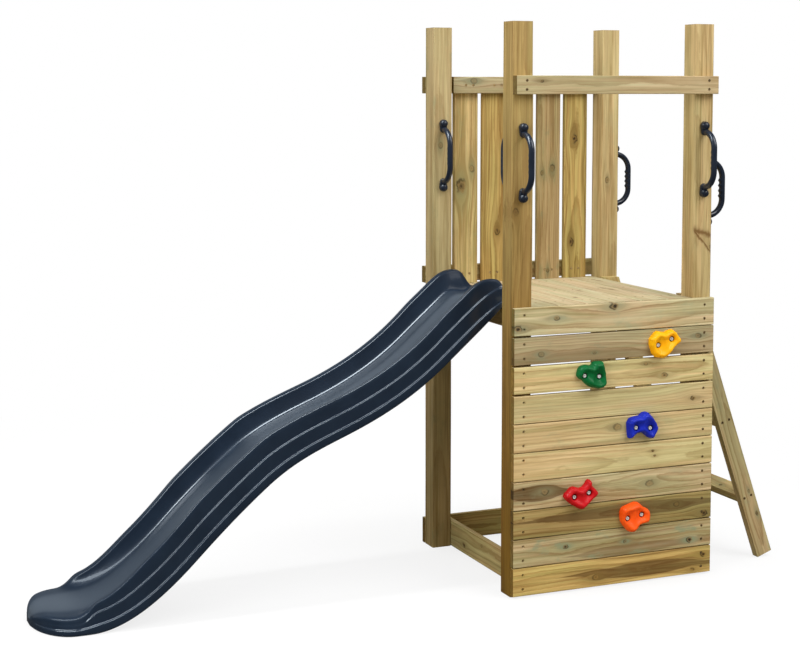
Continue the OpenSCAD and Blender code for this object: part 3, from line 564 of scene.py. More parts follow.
def mouldedPlastic(name):
    look = plastics[name]
    f = Finish(name)
    place = f.objectPlace()
    cloud = f.noise(place, 9, 3, 0.6)
    pebble = f.noise(place, look["pebbles"], 2, 0.6)
    shade = f.blend(f.band(cloud, 0.3, 0.75), look["colour"], look["sheen"])
    coat = look["coat"]
    # Wear and painted sheen: the floor is lightened towards the worn colour, standing in for its reflection
    if "wornAndSheen" in look:
        shade = f.blend(f.attribute("wearAndSheen", "Fac") * (0.85 + cloud * 0.3), shade, look["wornAndSheen"])
        coat = coat * f.attribute("shine", "Fac")
    return f.surface(shade, look["roughness"] + cloud * 0.06, pebble, look["pebbleDeep"], 0.12,
                     Specular_IOR_Level=look["gloss"], Coat_Weight=coat, Coat_Roughness=0.1)


def platedSteel(name):
    look = metals[name]
    f = Finish(name)
    cloud = f.noise(f.objectPlace(), 220, 3, 0.6)
    shade = f.blend(f.band(cloud, 0.35, 0.7), look["bright"], look["dull"])
    return f.surface(shade, look["rough"] + cloud * 0.2, cloud, 0.05 * mm, 0.3, Metallic=look["metallic"])


slideNavy, handleNavy, capNavy = (mouldedPlastic(name) for name in plastics)
boltZinc, screwBronze, screwTan = (platedSteel(name) for name in metals)
print("plastics and metals made")

# Slide: one cross-section carried along a wavy line, from the flange on the deck to the tongue
slideShape = {
    "run": 1360, "tongue": 150, "deck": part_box("deck_board_1")[1].z / mm, "stations": 132, "tipRings": 16,
    "wave": [(0, 0, 0), (0.243, 0.21, 1.47), (0.404, 0.426, 1.2), (0.588, 0.571, 0.6),
             (0.838, 0.79, 1.29), (1, 1, 1.34)],  # share of the run, share of the height, steepness
    "half": 183, "rim": 150, "wall": 115, "floor": 52, "skin": 10, "lip": 18, "slopeStep": 0.01,
    "highLedge": 45, "lowLedge": 87, "flange": 12, "flangeLength": 84, "flangeDome": 0.6, "flangeInset": 11,
    # points of a section, counted from the middle of the floor
    "floorPoints": 6, "rimPoints": range(6, 13), "sidePoints": range(13, 24), "ledgePoints": range(15, 21),
    "underPoints": 3, "dimPoints": 9, "glossPoints": 15,
    "rimEnd": 25, "rimDome": 155, "rimTail": 0.35, "rimSquash": 0.6, "ledgePower": 0.6, "sink": 27,
    "soft": {3: (56, 6), 4: (46, 12), 5: (38, 19), 6: (31, 27), 7: (24, 36), 8: (19.5, 48)},
    "tipLength": 115, "tipLeast": 0.14, "noseFrom": 2, "noseLength": 46, "noseLeast": 0.05,
    # wear and painted sheen of the floor, point by point, on the low and the high stretch: a lighter floor
    # stands in for its reflection, and the high stretch paints a second light line
    "wearAndSheen": (1.0, 0.95, 0.75, 0.22, 0.03), "wearAndSheenHigh": (0.68, 1.2, 0.36, 0.3, 0.05),
    "wearAndSheenTop": 0.3, "wearAndSheenLow": 0.5, "wearAndSheenTongue": 0.78, "wornAndSheen": 0.88, "shineFoot": 0.22,
    "shineHump": 0.08, "dipAt": -868, "dipLong": 85, "dip": 0.97, "dipWearAndSheen": 0.5,
    # fades: start and length, downhill where the length is negative
    "fades": {
        "floor": (-100, 100), "top": (-60, 60), "hump": (-150, 60), "high": (-650, 350),
        "low": (-850, -350), "foot": (-1030, -130),  # from the edge of the deck
        "soft": (280, -220), "sink": (190, -180), "wearAndSheenFade": (60, -120), "tongue": (40, -80),
        "side": (30, -62),  # from the foot
        "hollow": (30, 60),  # from the tip
    },
    "wornFrom": 0.06, "wornFade": 0.24,
}


def slideWave(t):
    wave = slideShape["wave"]
    k = max(i for i in range(len(wave) - 1) if i == 0 or t > wave[i][0])
    (start, low, lowSteep), (end, high, highSteep) = wave[k], wave[k + 1]
    wide = end - start
    u = (t - start) / wide
    return mix(low, high, ease(u)) + wide * u * (1 - u) * (lowSteep * (1 - u) - highSteep * u)


def slideFade(x, key):
    start, length = slideShape["fades"][key]
    return ease((x - start) / length)


def around(y, z, *offsets):
    return [(y + aside, z + up) for aside, up in offsets]


def slideSections():
    s = slideShape
    half, rim, wall, floor, lip = s["half"], s["rim"], s["wall"], s["floor"], s["lip"]
    high, low, under = wall - s["highLedge"], wall - s["lowLedge"], floor - s["skin"]
    hem = around(half, 0, (0, 6), (-1, 2), (-4, 0), (-20, 0))
    chute = [(0, floor)]
    chute += around(rim, floor, (-100, 1.2), (-74, 3.2), (-46, 6.8), (-38, 10.6), (-32, 16.4), (-28, 24))
    chute += around(rim, wall, (-20, -18), (-18.2, -9), (-17, -5), (-14.5, -2.8), (-6, -1.2), (5, 0),
                    (8.6, -1.2), (11.4, -4.6))
    chute += around(half, high, (-19, 4), (-18.6, 1), (-17.6, 0.2), (-13, -0.8), (-11.6, -1.8), (-11, -4))
    chute += around(half, low, (-9.4, 4), (-9, 1), (-8, 0.2), (-2.4, -0.8), (-1, -1.8), (-0.4, -4))
    chute += hem + [(half - 30, under - 2), (rim - 60, under), (0, under)]
    rise = [(0, floor)]
    rise += around(rim, floor, (-100, -0.2), (-70, -0.3), (-52, -0.5), (-41, -0.7), (-32, -0.9),
                   (-24, -1.1), (-17, -1.2), (-9, -1.5), (-1, -2), (5, -3), (10, -4.6), (13.4, -7),
                   (15.4, -10), (16.8, -14))
    rise += around(half, floor, (-15, -18), (-14, -20), (-13, -22), (-12, -24), (-11.4, -26), (-10.8, -28))
    rise += around(half, lip, (-10, 4), (-9, 2), (-6, 0.8), (-3, -0.4), (-1, -2), (-0.2, -6))
    rise += hem + [(half - 28, 8), (rim - 60, 9), (0, 10)]
    top = s["flange"]
    flange = [(y, top - s["flangeDome"] * (y / rim) ** 2) for y, _ in chute[:s["rimPoints"].stop]]
    turn = around(half - s["flangeInset"], 0, (-13, 0.95), (-8, 0.88), (-5, 0.8), (-3.4, 0.72),
                  (-2.4, 0.64), (-1.7, 0.56), (-1.1, 0.48), (-0.7, 0.4), (-0.4, 0.33), (-0.2, 0.27),
                  (-0.1, 0.22), (0, 0.18), (0, 0.14), (0, 0.1), (-0.3, 0.07), (-0.8, 0.03), (-2, 0))
    flange += [(y, top * share) for y, share in turn]
    flange += [(half - 20, 0), (half - 30, 0), (rim - 60, 0), (0, 0)]
    return chute, rise, flange


def slideStation(x, sections):
    s = slideShape
    chute, rise, flange = sections
    foot = -s["run"]
    tip = foot - s["tongue"]
    t = min(1.0, max(0.0, (x - foot) / s["run"]))
    a, b = max(0.0, t - s["slopeStep"]), min(1.0, t + s["slopeStep"])
    slope = s["deck"] / s["run"] * (slideWave(b) - slideWave(a)) / (b - a)
    inward = min(1.0, max(0.0, (s["rimEnd"] - x) / s["rimDome"]))
    rimShare = (1 - (1 - inward) ** 2) * ease(inward / s["rimTail"])
    floorShare = 1 - slideFade(x, "floor")
    softShare, tongueShare, sideShare = (slideFade(x - foot, key) for key in ("soft", "tongue", "side"))
    sunk = s["sink"] * slideFade(x - foot, "sink")
    stretch = math.hypot(1, slope)
    nose = max(s["noseLeast"], rounded((x - tip - s["noseFrom"]) / s["noseLength"]))
    hollow = slideFade(x - tip, "hollow")
    narrow = max(s["tipLeast"], rounded((x - tip) / s["tipLength"]))
    points = []
    for k, (p, q, r) in enumerate(zip(chute, rise, flange)):
        if k in s["soft"]:
            inset, lift = s["soft"][k]
            p = (mix(p[0], s["rim"] - inset, softShare), mix(p[1], s["floor"] + lift, softShare))
        above = max(0.0, p[1] - s["floor"]) / (s["wall"] - s["floor"])
        share = sideShare if k in s["sidePoints"] else tongueShare
        y = mix(p[0], q[0], share)
        h = mix(p[1] - sunk * above, q[1], share)
        under = k >= len(chute) - s["underPoints"]
        if under:
            h *= hollow
        fade = floorShare if under or k < s["floorPoints"] else rimShare
        if k in s["ledgePoints"]:
            fade = fade ** s["ledgePower"]
        full = h * stretch
        h = mix(r[1], full, fade)
        if k in s["rimPoints"]:
            crest = mix(s["flange"], s["wall"] * stretch, rimShare)
            h = max(r[1], min(full, crest - s["rimSquash"] * (s["wall"] * stretch - full)))
        if tongueShare == 1 and h > s["lip"]:
            h = s["lip"] + (h - s["lip"]) * nose
        points.append((mix(r[0], y, rimShare) * narrow, s["deck"] * slideWave(t) + h))
    return points


def slidePiece():
    s = slideShape
    sections = slideSections()
    low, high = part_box("slide")
    edgeX = high.x / mm - s["flangeLength"]
    midY = (low.y + high.y) / 2
    tip = -s["run"] - s["tongue"]
    main = [mix(s["flangeLength"], tip + s["tipLength"], i / s["stations"]) for i in range(s["stations"])]
    quarter = [math.pi / 2 * i / s["tipRings"] for i in range(s["tipRings"] + 1)]
    places = main + [tip + s["tipLength"] * (1 - math.sin(angle)) for angle in quarter]

    def ringPoints(x):
        right = slideStation(x, sections)
        ring = right + [(-y, z) for y, z in right[-2:0:-1]]
        return [Vector(((edgeX + x) * mm, midY + y * mm, z * mm)) for y, z in ring]

    def dipShare(x):
        return math.exp(-((x - s["dipAt"]) / s["dipLong"]) ** 4)

    # How far the floor takes the worn colour: wear, and painted sheen with a painted light line on the high
    # stretch
    def wearAndSheenShare(x, k):
        if k >= len(s["wearAndSheen"]):
            return 0.0
        along = mix(1.0, s["wearAndSheenTop"], slideFade(x, "top")) * mix(1.0, s["wearAndSheenLow"], slideFade(x, "low"))
        along = mix(along, s["wearAndSheenTongue"], slideFade(x + s["run"], "wearAndSheenFade"))
        along *= 1 - s["dipWearAndSheen"] * dipShare(x)
        return along * mix(s["wearAndSheen"][k], s["wearAndSheenHigh"][k], slideFade(x, "high"))

    def shineShare(x, k):
        if k >= s["glossPoints"]:
            return 1.0
        dip = s["dip"] * dipShare(x) if k < s["dimPoints"] else 0.0
        foot = mix(1.0, s["shineFoot"], slideFade(x, "foot"))
        hump = mix(1.0, s["shineHump"], slideFade(x, "hump"))
        wornAndSheen = s["wornAndSheen"] * ease((wearAndSheenShare(x, k) - s["wornFrom"]) / s["wornFade"])
        return (1 - dip) * foot * hump * (1 - wornAndSheen)

    bm = bmesh.new()
    wearAndSheen = bm.verts.layers.float.new("wearAndSheen")
    shine = bm.verts.layers.float.new("shine")
    verts = [bm.verts.new(p) for p in ringPoints(places[0])]
    edges = [bm.edges.new((verts[i - 1], verts[i])) for i in range(len(verts))]
    firstEdges = edges
    for x in places[1:]:
        made = bmesh.ops.extrude_edge_only(bm, edges=edges)["geom"]
        nextOf = {}
        newVerts = set(vertsOf(made))
        for v in newVerts:
            partner = [e.other_vert(v) for e in v.link_edges if e.other_vert(v) not in newVerts]
            nextOf[partner[0]] = v
        verts = [nextOf[v] for v in verts]
        for i, (v, p) in enumerate(zip(verts, ringPoints(x))):
            v.co = p
            k = min(i, 2 * len(sections[0]) - 2 - i)
            v[wearAndSheen] = wearAndSheenShare(x, k)
            v[shine] = shineShare(x, k)
        edges = [bm.edges.get((verts[i - 1], verts[i])) for i in range(len(verts))]
    bmesh.ops.contextual_create(bm, geom=firstEdges)
    bmesh.ops.contextual_create(bm, geom=edges)
    bmesh.ops.recalc_face_normals(bm, faces=bm.faces)
    for face in bm.faces:
        face.smooth = len(face.verts) == 4
    piece = addPiece("slide_chute", bm, slideNavy, "slide_plastic", "slide")
    subsurf = piece.modifiers.new("soften", "SUBSURF")
    subsurf.levels = subsurf.render_levels = 1
    return piece


slidePiece()
print("slide made")

# Grab handles: local x is sideways, y along the grip and z out from the post
handleShape = {
    "arms": 178 * mm, "bolts": 218 * mm, "reach": 61 * mm, "grip": 9.6 * mm, "elbow": 54 * mm,
    "pad": 14 * mm, "collar": 11.5 * mm, "padThick": 10 * mm, "padSides": 28, "armFrom": 3 * mm,
    "padSteps": ((0.0, 1.0), (0.6, 1.0), (0.88, 0.95), (1.0, 0.84)),  # share of the height, of the radius
    "cap": 13.6 * mm, "capHigh": 12 * mm, "capSides": 28, "capRings": 18,
    "bumps": 4, "bumpPitch": 17 * mm, "bumpHigh": 5 * mm, "bumpLong": 4.6 * mm, "bumpMargin": 2 * mm,
    "sides": 24, "armSteps": 2, "gripSteps": 40, "elbowSteps": 12,
    "faces": {
        "handle_front_left": (0, -1, 0), "handle_front_right": (0, -1, 0), "handle_slide_front": (0, 1, 0),
        "handle_slide_back": (0, -1, 0), "handle_ladder_front": (1, 0, 0), "handle_ladder_back": (1, 0, 0),
    },
}


def handleMatrix(name):
    low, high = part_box(name)
    out = Vector(handleShape["faces"][name])
    foot = (low + high) / 2
    for i in range(3):
        if out[i] != 0:
            foot[i] = low[i] if out[i] > 0 else high[i]
    up = Vector((0, 0, 1))
    side = up.cross(out)
    return Matrix.Translation(foot) @ Matrix((side, up, out)).transposed().to_4x4()


def pushLoop(bm, edges, move, steps=1):
    for _ in range(steps):
        made = bmesh.ops.extrude_edge_only(bm, edges=edges)["geom"]
        bmesh.ops.translate(bm, verts=vertsOf(made), vec=Vector(move) / steps)
        edges = [e for e in edgesOf(made) if len(e.link_faces) == 1]
    return edges


def gripTube(bm):
    h = handleShape
    arm, bend = h["arms"] / 2, h["elbow"]
    rise = h["reach"] - bend - h["armFrom"]
    start = Matrix.Translation((0, arm, h["armFrom"]))
    bmesh.ops.create_circle(bm, segments=h["sides"], radius=h["grip"], matrix=start)
    first = edges = bm.edges[:]
    edges = pushLoop(bm, edges, (0, 0, rise), h["armSteps"])
    for turn in (1, -1):
        cent = (0, turn * (arm - bend), h["reach"] - bend)
        spun = bmesh.ops.spin(bm, geom=edges, cent=cent, axis=(1, 0, 0), dvec=(0, 0, 0), angle=math.pi / 2,
                              steps=h["elbowSteps"], use_merge=False, use_duplicate=False)["geom_last"]
        edges = edgesOf(spun)
        if turn == 1:
            edges = pushLoop(bm, edges, (0, -2 * (arm - bend), 0), h["gripSteps"])
    edges = pushLoop(bm, edges, (0, 0, -rise), h["armSteps"])
    bmesh.ops.contextual_create(bm, geom=first)
    bmesh.ops.contextual_create(bm, geom=edges)
    for v in bm.verts:
        inner = (h["reach"] - v.co.z) / h["grip"]
        if inner > 0 and abs(v.co.y) < arm - bend + h["bumpMargin"]:
            spread = [v.co.y - (i - (h["bumps"] - 1) / 2) * h["bumpPitch"] for i in range(h["bumps"])]
            v.co.z -= h["bumpHigh"] * inner * sum(math.exp(-(d / h["bumpLong"]) ** 2) for d in spread)


def gripLugs(bm):
    h = handleShape
    for turn in (1, -1):
        rims = []
        for radius, at in ((h["pad"], h["bolts"] / 2), (h["collar"], h["arms"] / 2)):
            for level, share in h["padSteps"]:
                place = Matrix.Translation((0, turn * at, level * h["padThick"]))
                rims += bmesh.ops.create_circle(bm, segments=h["padSides"], radius=radius * share,
                                                matrix=place)["verts"]
        hull = bmesh.ops.convex_hull(bm, input=rims)
        spare = dict.fromkeys(hull["geom_interior"] + hull["geom_unused"])
        bmesh.ops.delete(bm, geom=list(spare), context="VERTS")


def handlePieces():
    h = handleShape
    caps = bmesh.new()
    for name in h["faces"]:
        place = handleMatrix(name)
        bm = bmesh.new()
        gripTube(bm)
        gripLugs(bm)
        bmesh.ops.recalc_face_normals(bm, faces=bm.faces)
        bmesh.ops.transform(bm, matrix=place, verts=bm.verts)
        smoothAll(bm)
        addPiece("grip_" + name, bm, handleNavy, "handle_plastic", name)
        for turn in (1, -1):
            seat = Matrix.Translation((0, turn * h["bolts"] / 2, h["padThick"]))
            dome = bmesh.ops.create_uvsphere(caps, u_segments=h["capSides"], v_segments=h["capRings"],
                                             radius=1)["verts"]
            flat = Matrix.Diagonal((h["cap"], h["cap"], h["capHigh"], 1))
            bmesh.ops.transform(caps, matrix=place @ seat @ flat, verts=dome)
    smoothAll(caps)
    addPiece("handle_caps", caps, capNavy, "handle_plastic", "handle_bolts")


handlePieces()
print("handles made")

# Climbing holds: outlines in millimetres, across and up from the middle between the bolts
holdShape = {
    "full": 32, "rim": 7, "round": 16, "dish": 5, "dishFrom": 0.6, "bowl": 11, "bowlWide": 36, "seat": 6,
    # the wells round the bolts get painted shade, the colour cut to a small share and fading out beyond the
    # inner well
    "wellInner": 7.6, "wellOuter": 9.6, "wellShadeFade": 3, "wellPaintedShade": 0.12, "boltGap": 53, "boltNarrow": 0.7,
    "voxel": 1.6 * mm, "sidePasses": 3, "softPasses": 2, "softFrom": 2 * mm,
    "holds": {
        "hold_yellow": {
            "at": (532, 783), "scale": (0.955, 1.02), "tilt": 19,
            "tints": (tint(252, 174, 0), tint(255, 188, 6)),
            "outline": [(-55, 12), (-38, 30), (-28, 36), (1, 30), (17, 36), (31, 38), (46, 29), (63, 6),
                        (61, -4), (46, -14), (35, -22), (26, -32), (11, -45), (-6, -52), (-32, -48),
                        (-44, -35), (-55, -8)]},
        "hold_green": {
            "at": (266, 690.8), "scale": (1.02, 1.1), "tilt": -6,
            "tints": (tint(0, 96, 46), tint(0, 110, 56)),
            "outline": [(-48, 8), (-44, 22), (-36, 30), (-21, 33), (-8, 31), (1, 29), (4, 37), (14, 41),
                        (25, 41), (39, 40), (43, 30), (47, 17), (51, 7), (52, -5), (53, -22), (50, -30),
                        (39, -37), (25, -39), (5, -35), (-8, -30), (-18, -23), (-27, -13), (-40, -7),
                        (-48, 1)]},
        "hold_blue": {
            "at": (455, 510.2), "scale": (0.93, 1.0), "tilt": -5,
            "tints": (tint(14, 34, 166), tint(22, 44, 184)),
            "outline": [(-59, 19), (-51, 32), (-34, 37), (-12, 39), (0, 48), (9, 50), (19, 49), (29, 42),
                        (43, 28), (55, 12), (62, -4), (57, -17), (48, -28), (41, -38), (29, -37),
                        (19, -31), (8, -22), (-4, -16), (-20, -18), (-33, -24), (-43, -30), (-53, -32),
                        (-56, -19), (-58, -2)]},
        "hold_red": {
            "at": (233, 313.6), "scale": (1.0, 1.0), "tilt": 10,
            "tints": (tint(184, 8, 18), tint(200, 14, 24)),
            "outline": [(-60, -3), (-57, 6), (-45, 16), (-37, 24), (-26, 27), (-15, 24), (-4, 20),
                        (7, 23), (16, 32), (22, 43), (30, 46), (36, 40), (39, 26), (49, 17), (59, 5),
                        (60, -2), (52, -12), (38, -22), (25, -32), (16, -40), (5, -47), (-4, -47),
                        (-15, -41), (-30, -32), (-43, -22), (-54, -12)]},
        "hold_orange": {
            "at": (427, 224.3), "scale": (0.93, 0.96), "tilt": 8,
            "tints": (tint(248, 82, 12), tint(255, 96, 22)),
            "outline": [(-52, 17), (-48, 29), (-37, 36), (-22, 40), (-7, 44), (4, 47), (17, 45), (25, 38),
                        (39, 28), (54, 20), (61, 12), (63, -1), (61, -17), (54, -26), (37, -29),
                        (21, -32), (17, -35), (13, -42), (6, -48), (-4, -54), (-15, -53), (-25, -47),
                        (-33, -37), (-42, -26), (-49, -15), (-52, 0)]},
    },
}


def holdResin(name):
    base, light = holdShape["holds"][name]["tints"]
    f = Finish(name + "Resin")
    place = f.objectPlace()
    cloud = f.noise(place, 26, 3, 0.55)
    sand = f.noise(place, 700, 2, 0.6)
    shade = f.blend(f.band(cloud, 0.3, 0.75), base, light)
    # Painted shade in the wells round the bolts: the colour is cut to a small share of itself
    shaded = tuple(c * holdShape["wellPaintedShade"] for c in base[:3]) + (1.0,)
    shade = f.blend(f.attribute("well", "Fac"), shade, shaded)
    return f.surface(shade, 0.48 + cloud * 0.1, sand, 0.12 * mm, 0.22, Specular_IOR_Level=0.2,
                     Coat_Weight=0.08, Coat_Roughness=0.15)


def edgeDistance(x, z, outline):
    p = Vector((x, z))
    distances = []
    for i in range(len(outline)):
        a, b = Vector(outline[i - 1]), Vector(outline[i])
        side = b - a
        t = min(1.0, max(0.0, (p - a).dot(side) / side.length_squared))
        distances.append((p - a - side * t).length)
    return min(distances)


def holdDepth(x, z, outline, bolts):
    h = holdShape
    inset = edgeDistance(x, z, outline)
    depth = h["rim"] + (h["full"] - h["rim"]) * rounded(inset / h["round"])
    depth -= h["dish"] * ease((inset - h["round"] * h["dishFrom"]) / h["round"])
    wells = [(Vector((x, z)) - bolt).length for bolt in bolts]
    depth -= h["bowl"] * (1 - min(1.0, min(wells) / h["bowlWide"]) ** 2) ** 2
    for well in wells:
        depth = mix(h["seat"], depth, ease((well - h["wellInner"]) / (h["wellOuter"] - h["wellInner"])))
    return depth


def boltPlaces(name):
    tilt = math.radians(holdShape["holds"][name]["tilt"])
    right = Vector((math.cos(tilt), math.sin(tilt))) * holdShape["boltGap"] / 2
    return [-right, right]


def evenBlock(outline):
    h = holdShape
    bm = bmesh.new()
    base = bm.faces.new([bm.verts.new((x * mm, z * mm, 0)) for x, z in outline])
    top = bmesh.ops.extrude_face_region(bm, geom=[base])["geom"]
    bmesh.ops.translate(bm, verts=vertsOf(top), vec=(0, 0, h["full"] * mm))
    bmesh.ops.recalc_face_normals(bm, faces=bm.faces)
    rough = addObject("rough", meshOf("rough", bm))
    remesh = rough.modifiers.new("even", "REMESH")
    remesh.mode = "VOXEL"
    remesh.voxel_size = h["voxel"]
    even = bpy.data.meshes.new_from_object(rough.evaluated_get(bpy.context.evaluated_depsgraph_get()))
    bpy.data.objects.remove(rough)
    bm = bmesh.new()
    bm.from_mesh(even)
    return bm


def holdPiece(name):
    h = holdShape
    hold = h["holds"][name]
    wide, tall = hold["scale"]
    outline = [(x * wide, z * tall) for x, z in hold["outline"]]
    bolts = boltPlaces(name)
    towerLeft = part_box("post_front_left")[0].x
    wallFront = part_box("wall_board_1")[0].y
    across, up = hold["at"]
    bm = evenBlock(outline)
    for _ in range(h["sidePasses"]):
        bmesh.ops.smooth_vert(bm, verts=bm.verts, factor=0.5, use_axis_x=True, use_axis_y=True,
                              use_axis_z=False)
    # Painted shade share: full inside the inner well, fading out beyond it
    paintedWellShade = bm.verts.layers.float.new("well")
    for v in bm.verts:
        share = min(1.0, max(0.0, v.co.z / (h["full"] * mm)))
        nearest = min((v.co.xy / mm - bolt).length for bolt in bolts)
        v[paintedWellShade] = 1 - ease((nearest - h["wellInner"]) / h["wellShadeFade"])
        v.co.z = share * holdDepth(v.co.x / mm, v.co.y / mm, outline, bolts) * mm
    for _ in range(h["softPasses"]):
        bmesh.ops.smooth_vert(bm, verts=[v for v in bm.verts if v.co.z > h["softFrom"]], factor=0.5,
                              use_axis_x=True, use_axis_y=True, use_axis_z=True)
    for v in bm.verts:
        v.co = Vector((towerLeft + across * mm + v.co.x, wallFront - v.co.z, up * mm + v.co.y))
    bmesh.ops.recalc_face_normals(bm, faces=bm.faces)
    smoothAll(bm)
    addPiece("climb_" + name, bm, holdResin(name), name + "_resin", name)


for holdName in holdShape["holds"]:
    holdPiece(holdName)
print("holds made")

# Screws: each head gets a star recess and sits a little under the wood
screwShape = {
    "head": 4.3 * mm, "dome": 0.5 * mm, "sunk": 0.7 * mm, "recess": 2.4 * mm, "waist": 1.4 * mm,
    "recessDeep": 1.6 * mm, "skirt": 2 * mm, "sides": 12, "shankMost": 3 * mm, "stray": 1.8 * mm,
    "drawLeft": 6 * mm, "screenFrom": 0.2, "boltSeat": 15.5 * mm, "boltSunk": 8 * mm,
    "arris": 0.6 * mm, "arrisSteps": 2, "arrisAngle": 50,
}


def screwTemplate():
    s = screwShape
    bm = bmesh.new()
    circle = bmesh.ops.create_circle(bm, cap_ends=True, segments=s["sides"], radius=s["head"])["verts"]
    top = bm.faces[:]
    bmesh.ops.inset_individual(bm, faces=top, thickness=s["head"] - s["recess"], depth=0.0)
    star = [f for f in bm.faces if all(v not in circle for v in f.verts)][0]
    for i, v in enumerate(star.verts):
        v.co = v.co.normalized() * (s["recess"] if i % 2 else s["waist"])
        v.co.z = s["dome"]
    pit = bmesh.ops.extrude_face_region(bm, geom=[star])["geom"]
    bmesh.ops.translate(bm, verts=vertsOf(pit), vec=(0, 0, -s["recessDeep"]))
    bmesh.ops.delete(bm, geom=[star], context="FACES_ONLY")
    rims = [e for e in bm.edges if all(v in circle for v in e.verts)]
    skirt = pushLoop(bm, rims, (0, 0, -s["skirt"]))
    bmesh.ops.contextual_create(bm, geom=skirt)
    bmesh.ops.recalc_face_normals(bm, faces=bm.faces)
    return meshOf("screwTemplate", bm)


def islands(node):
    bm = cadCopy(node)
    left = set(bm.verts)
    groups = []
    for first in bm.verts:  # in a fixed order, so that each run draws the same strays
        if first not in left:
            continue
        left.remove(first)
        stack = [first]
        group = []
        while stack:
            v = stack.pop()
            group.append(v.co.copy())
            for e in v.link_edges:
                w = e.other_vert(v)
                if w in left:
                    left.remove(w)
                    stack.append(w)
        groups.append(group)
    bm.free()
    return groups


def screwHeads(node, pieceName):
    s = screwShape
    template = screwTemplate()
    dice = random.Random(node)
    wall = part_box("wall_board_1")
    bm = bmesh.new()
    for group in islands(node):
        low, high = corners(group)
        size = high - low
        axis = max(range(3), key=lambda i: size[i])
        middle = (low + high) / 2
        sides = [i for i in range(3) if i != axis]
        wide = [p for p in group if max(abs(p[i] - middle[i]) for i in sides) > s["shankMost"]]
        headHigh = sum(p[axis] for p in wide) / len(wide) > middle[axis]
        out = Vector([float(i == axis) for i in range(3)]) * (1 if headHigh else -1)
        top = middle.copy()
        top[axis] = high[axis] if headHigh else low[axis]
        stray = Vector([dice.uniform(-1, 1) * s["stray"] * (i != axis) for i in range(3)])
        if node == "wall_screws" and top.x < (wall[0].x + wall[1].x) / 2:
            stray.x -= s["drawLeft"]
        turn = out.to_track_quat("Z", "Y").to_matrix().to_4x4()
        copy = template.copy()
        copy.transform(Matrix.Translation(top + stray - out * s["sunk"]) @ turn)
        bm.from_mesh(copy)
        bpy.data.meshes.remove(copy)
        bm.faces.ensure_lookup_table()
        for face in bm.faces[-len(template.polygons):]:
            face.material_index = int(out.y < 0 and top.y > s["screenFrom"])
    piece = addPiece(pieceName, bm, screwBronze, "screw_steel", node)
    piece.data.materials.append(screwTan)


for screwNode in ("wall_screws", "frame_screws", "slide_screws"):
    screwHeads(screwNode, screwNode.replace("screws", "screw_heads"))


def holdBolts():
    s = screwShape
    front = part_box("wall_board_1")[0].y
    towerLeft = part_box("post_front_left")[0].x
    centres = [Vector((towerLeft, 0)) + (Vector(hold["at"]) + bolt) * mm
               for name, hold in holdShape["holds"].items() for bolt in boltPlaces(name)]
    bm = cadCopy("hold_bolts")
    for v in bm.verts:
        if front - v.co.y > s["boltSeat"]:
            flat = v.co.xz
            centre = min(centres, key=lambda c: (flat - c).length)
            flat = centre + (flat - centre) * holdShape["boltNarrow"]
            v.co = Vector((flat.x, v.co.y + s["boltSunk"], flat.y))
    for face in bm.faces:
        face.smooth = abs(face.normal.y) < 0.5 and len(face.verts) == 4
    piece = addPiece("hold_bolt_heads", bm, boltZinc, "bolt_steel", "hold_bolts")
    bevel = piece.modifiers.new("arris", "BEVEL")
    bevel.width = s["arris"]
    bevel.segments = s["arrisSteps"]
    bevel.angle_limit = math.radians(s["arrisAngle"])


holdBolts()
print("screws and bolts made")

# Studio: a white floor that keeps the shadow, a dim soft surround and soft lamps. In gloss the
# surround is dark in front and pale low behind, and one strip overhead is seen in gloss alone
studio = {
    "floorSize": 60, "floorDrop": 0.5 * mm, "paper": (0.8, 0.8, 0.8, 1.0), "bounce": (0.34, 0.3, 0.22, 1.0),
    "mirrored": 0.05, "whiteNear": 0.8, "whiteFrom": 1.2, "whiteTo": 3.2,
    "around": 0.22, "above": 0.56, "aslant": 0.25, "aboveFrom": -0.1, "aboveTo": 1.0,
    "before": 0.03, "behind": 0.4, "behindFrom": 0.1, "behindTo": 0.7, "lowFull": 0.3, "lowGone": 0.8,
    "white": (1, 1, 1, 1), "glossTint": (0.8, 0.91, 1.0, 1.0),
    "lamps": [
        {"name": "keyLamp", "at": (2.6, -3.4, 4.6), "aim": (0.1, 0, 0.8), "size": (3.2, 3.2), "power": 175},
        {"name": "glossStrip", "at": (-3.6, -0.3, 4.4), "aim": (-3.6, -0.2, 0.4), "size": (5.6, 1.3),
         "power": 400, "lights": "gloss", "colour": (0.82, 0.92, 1.0)},
        {"name": "topStrip", "at": (-0.6, -0.2, 4.4), "aim": (-0.6, -0.1, 0.4), "size": (5.6, 0.3),
         "power": 90, "lights": "diffuse"},
        {"name": "backStrip", "at": (-0.4, 3.6, 3.4), "aim": (-0.4, 0, 0.5), "size": (5.0, 0.5),
         "power": 60, "lights": "diffuse"},
        {"name": "sideLamp", "at": (-4.6, -2.6, 2.8), "aim": (-0.2, 0, 0.6), "size": (2.8, 2.8),
         "power": 166, "lights": "diffuse"},
    ],
}


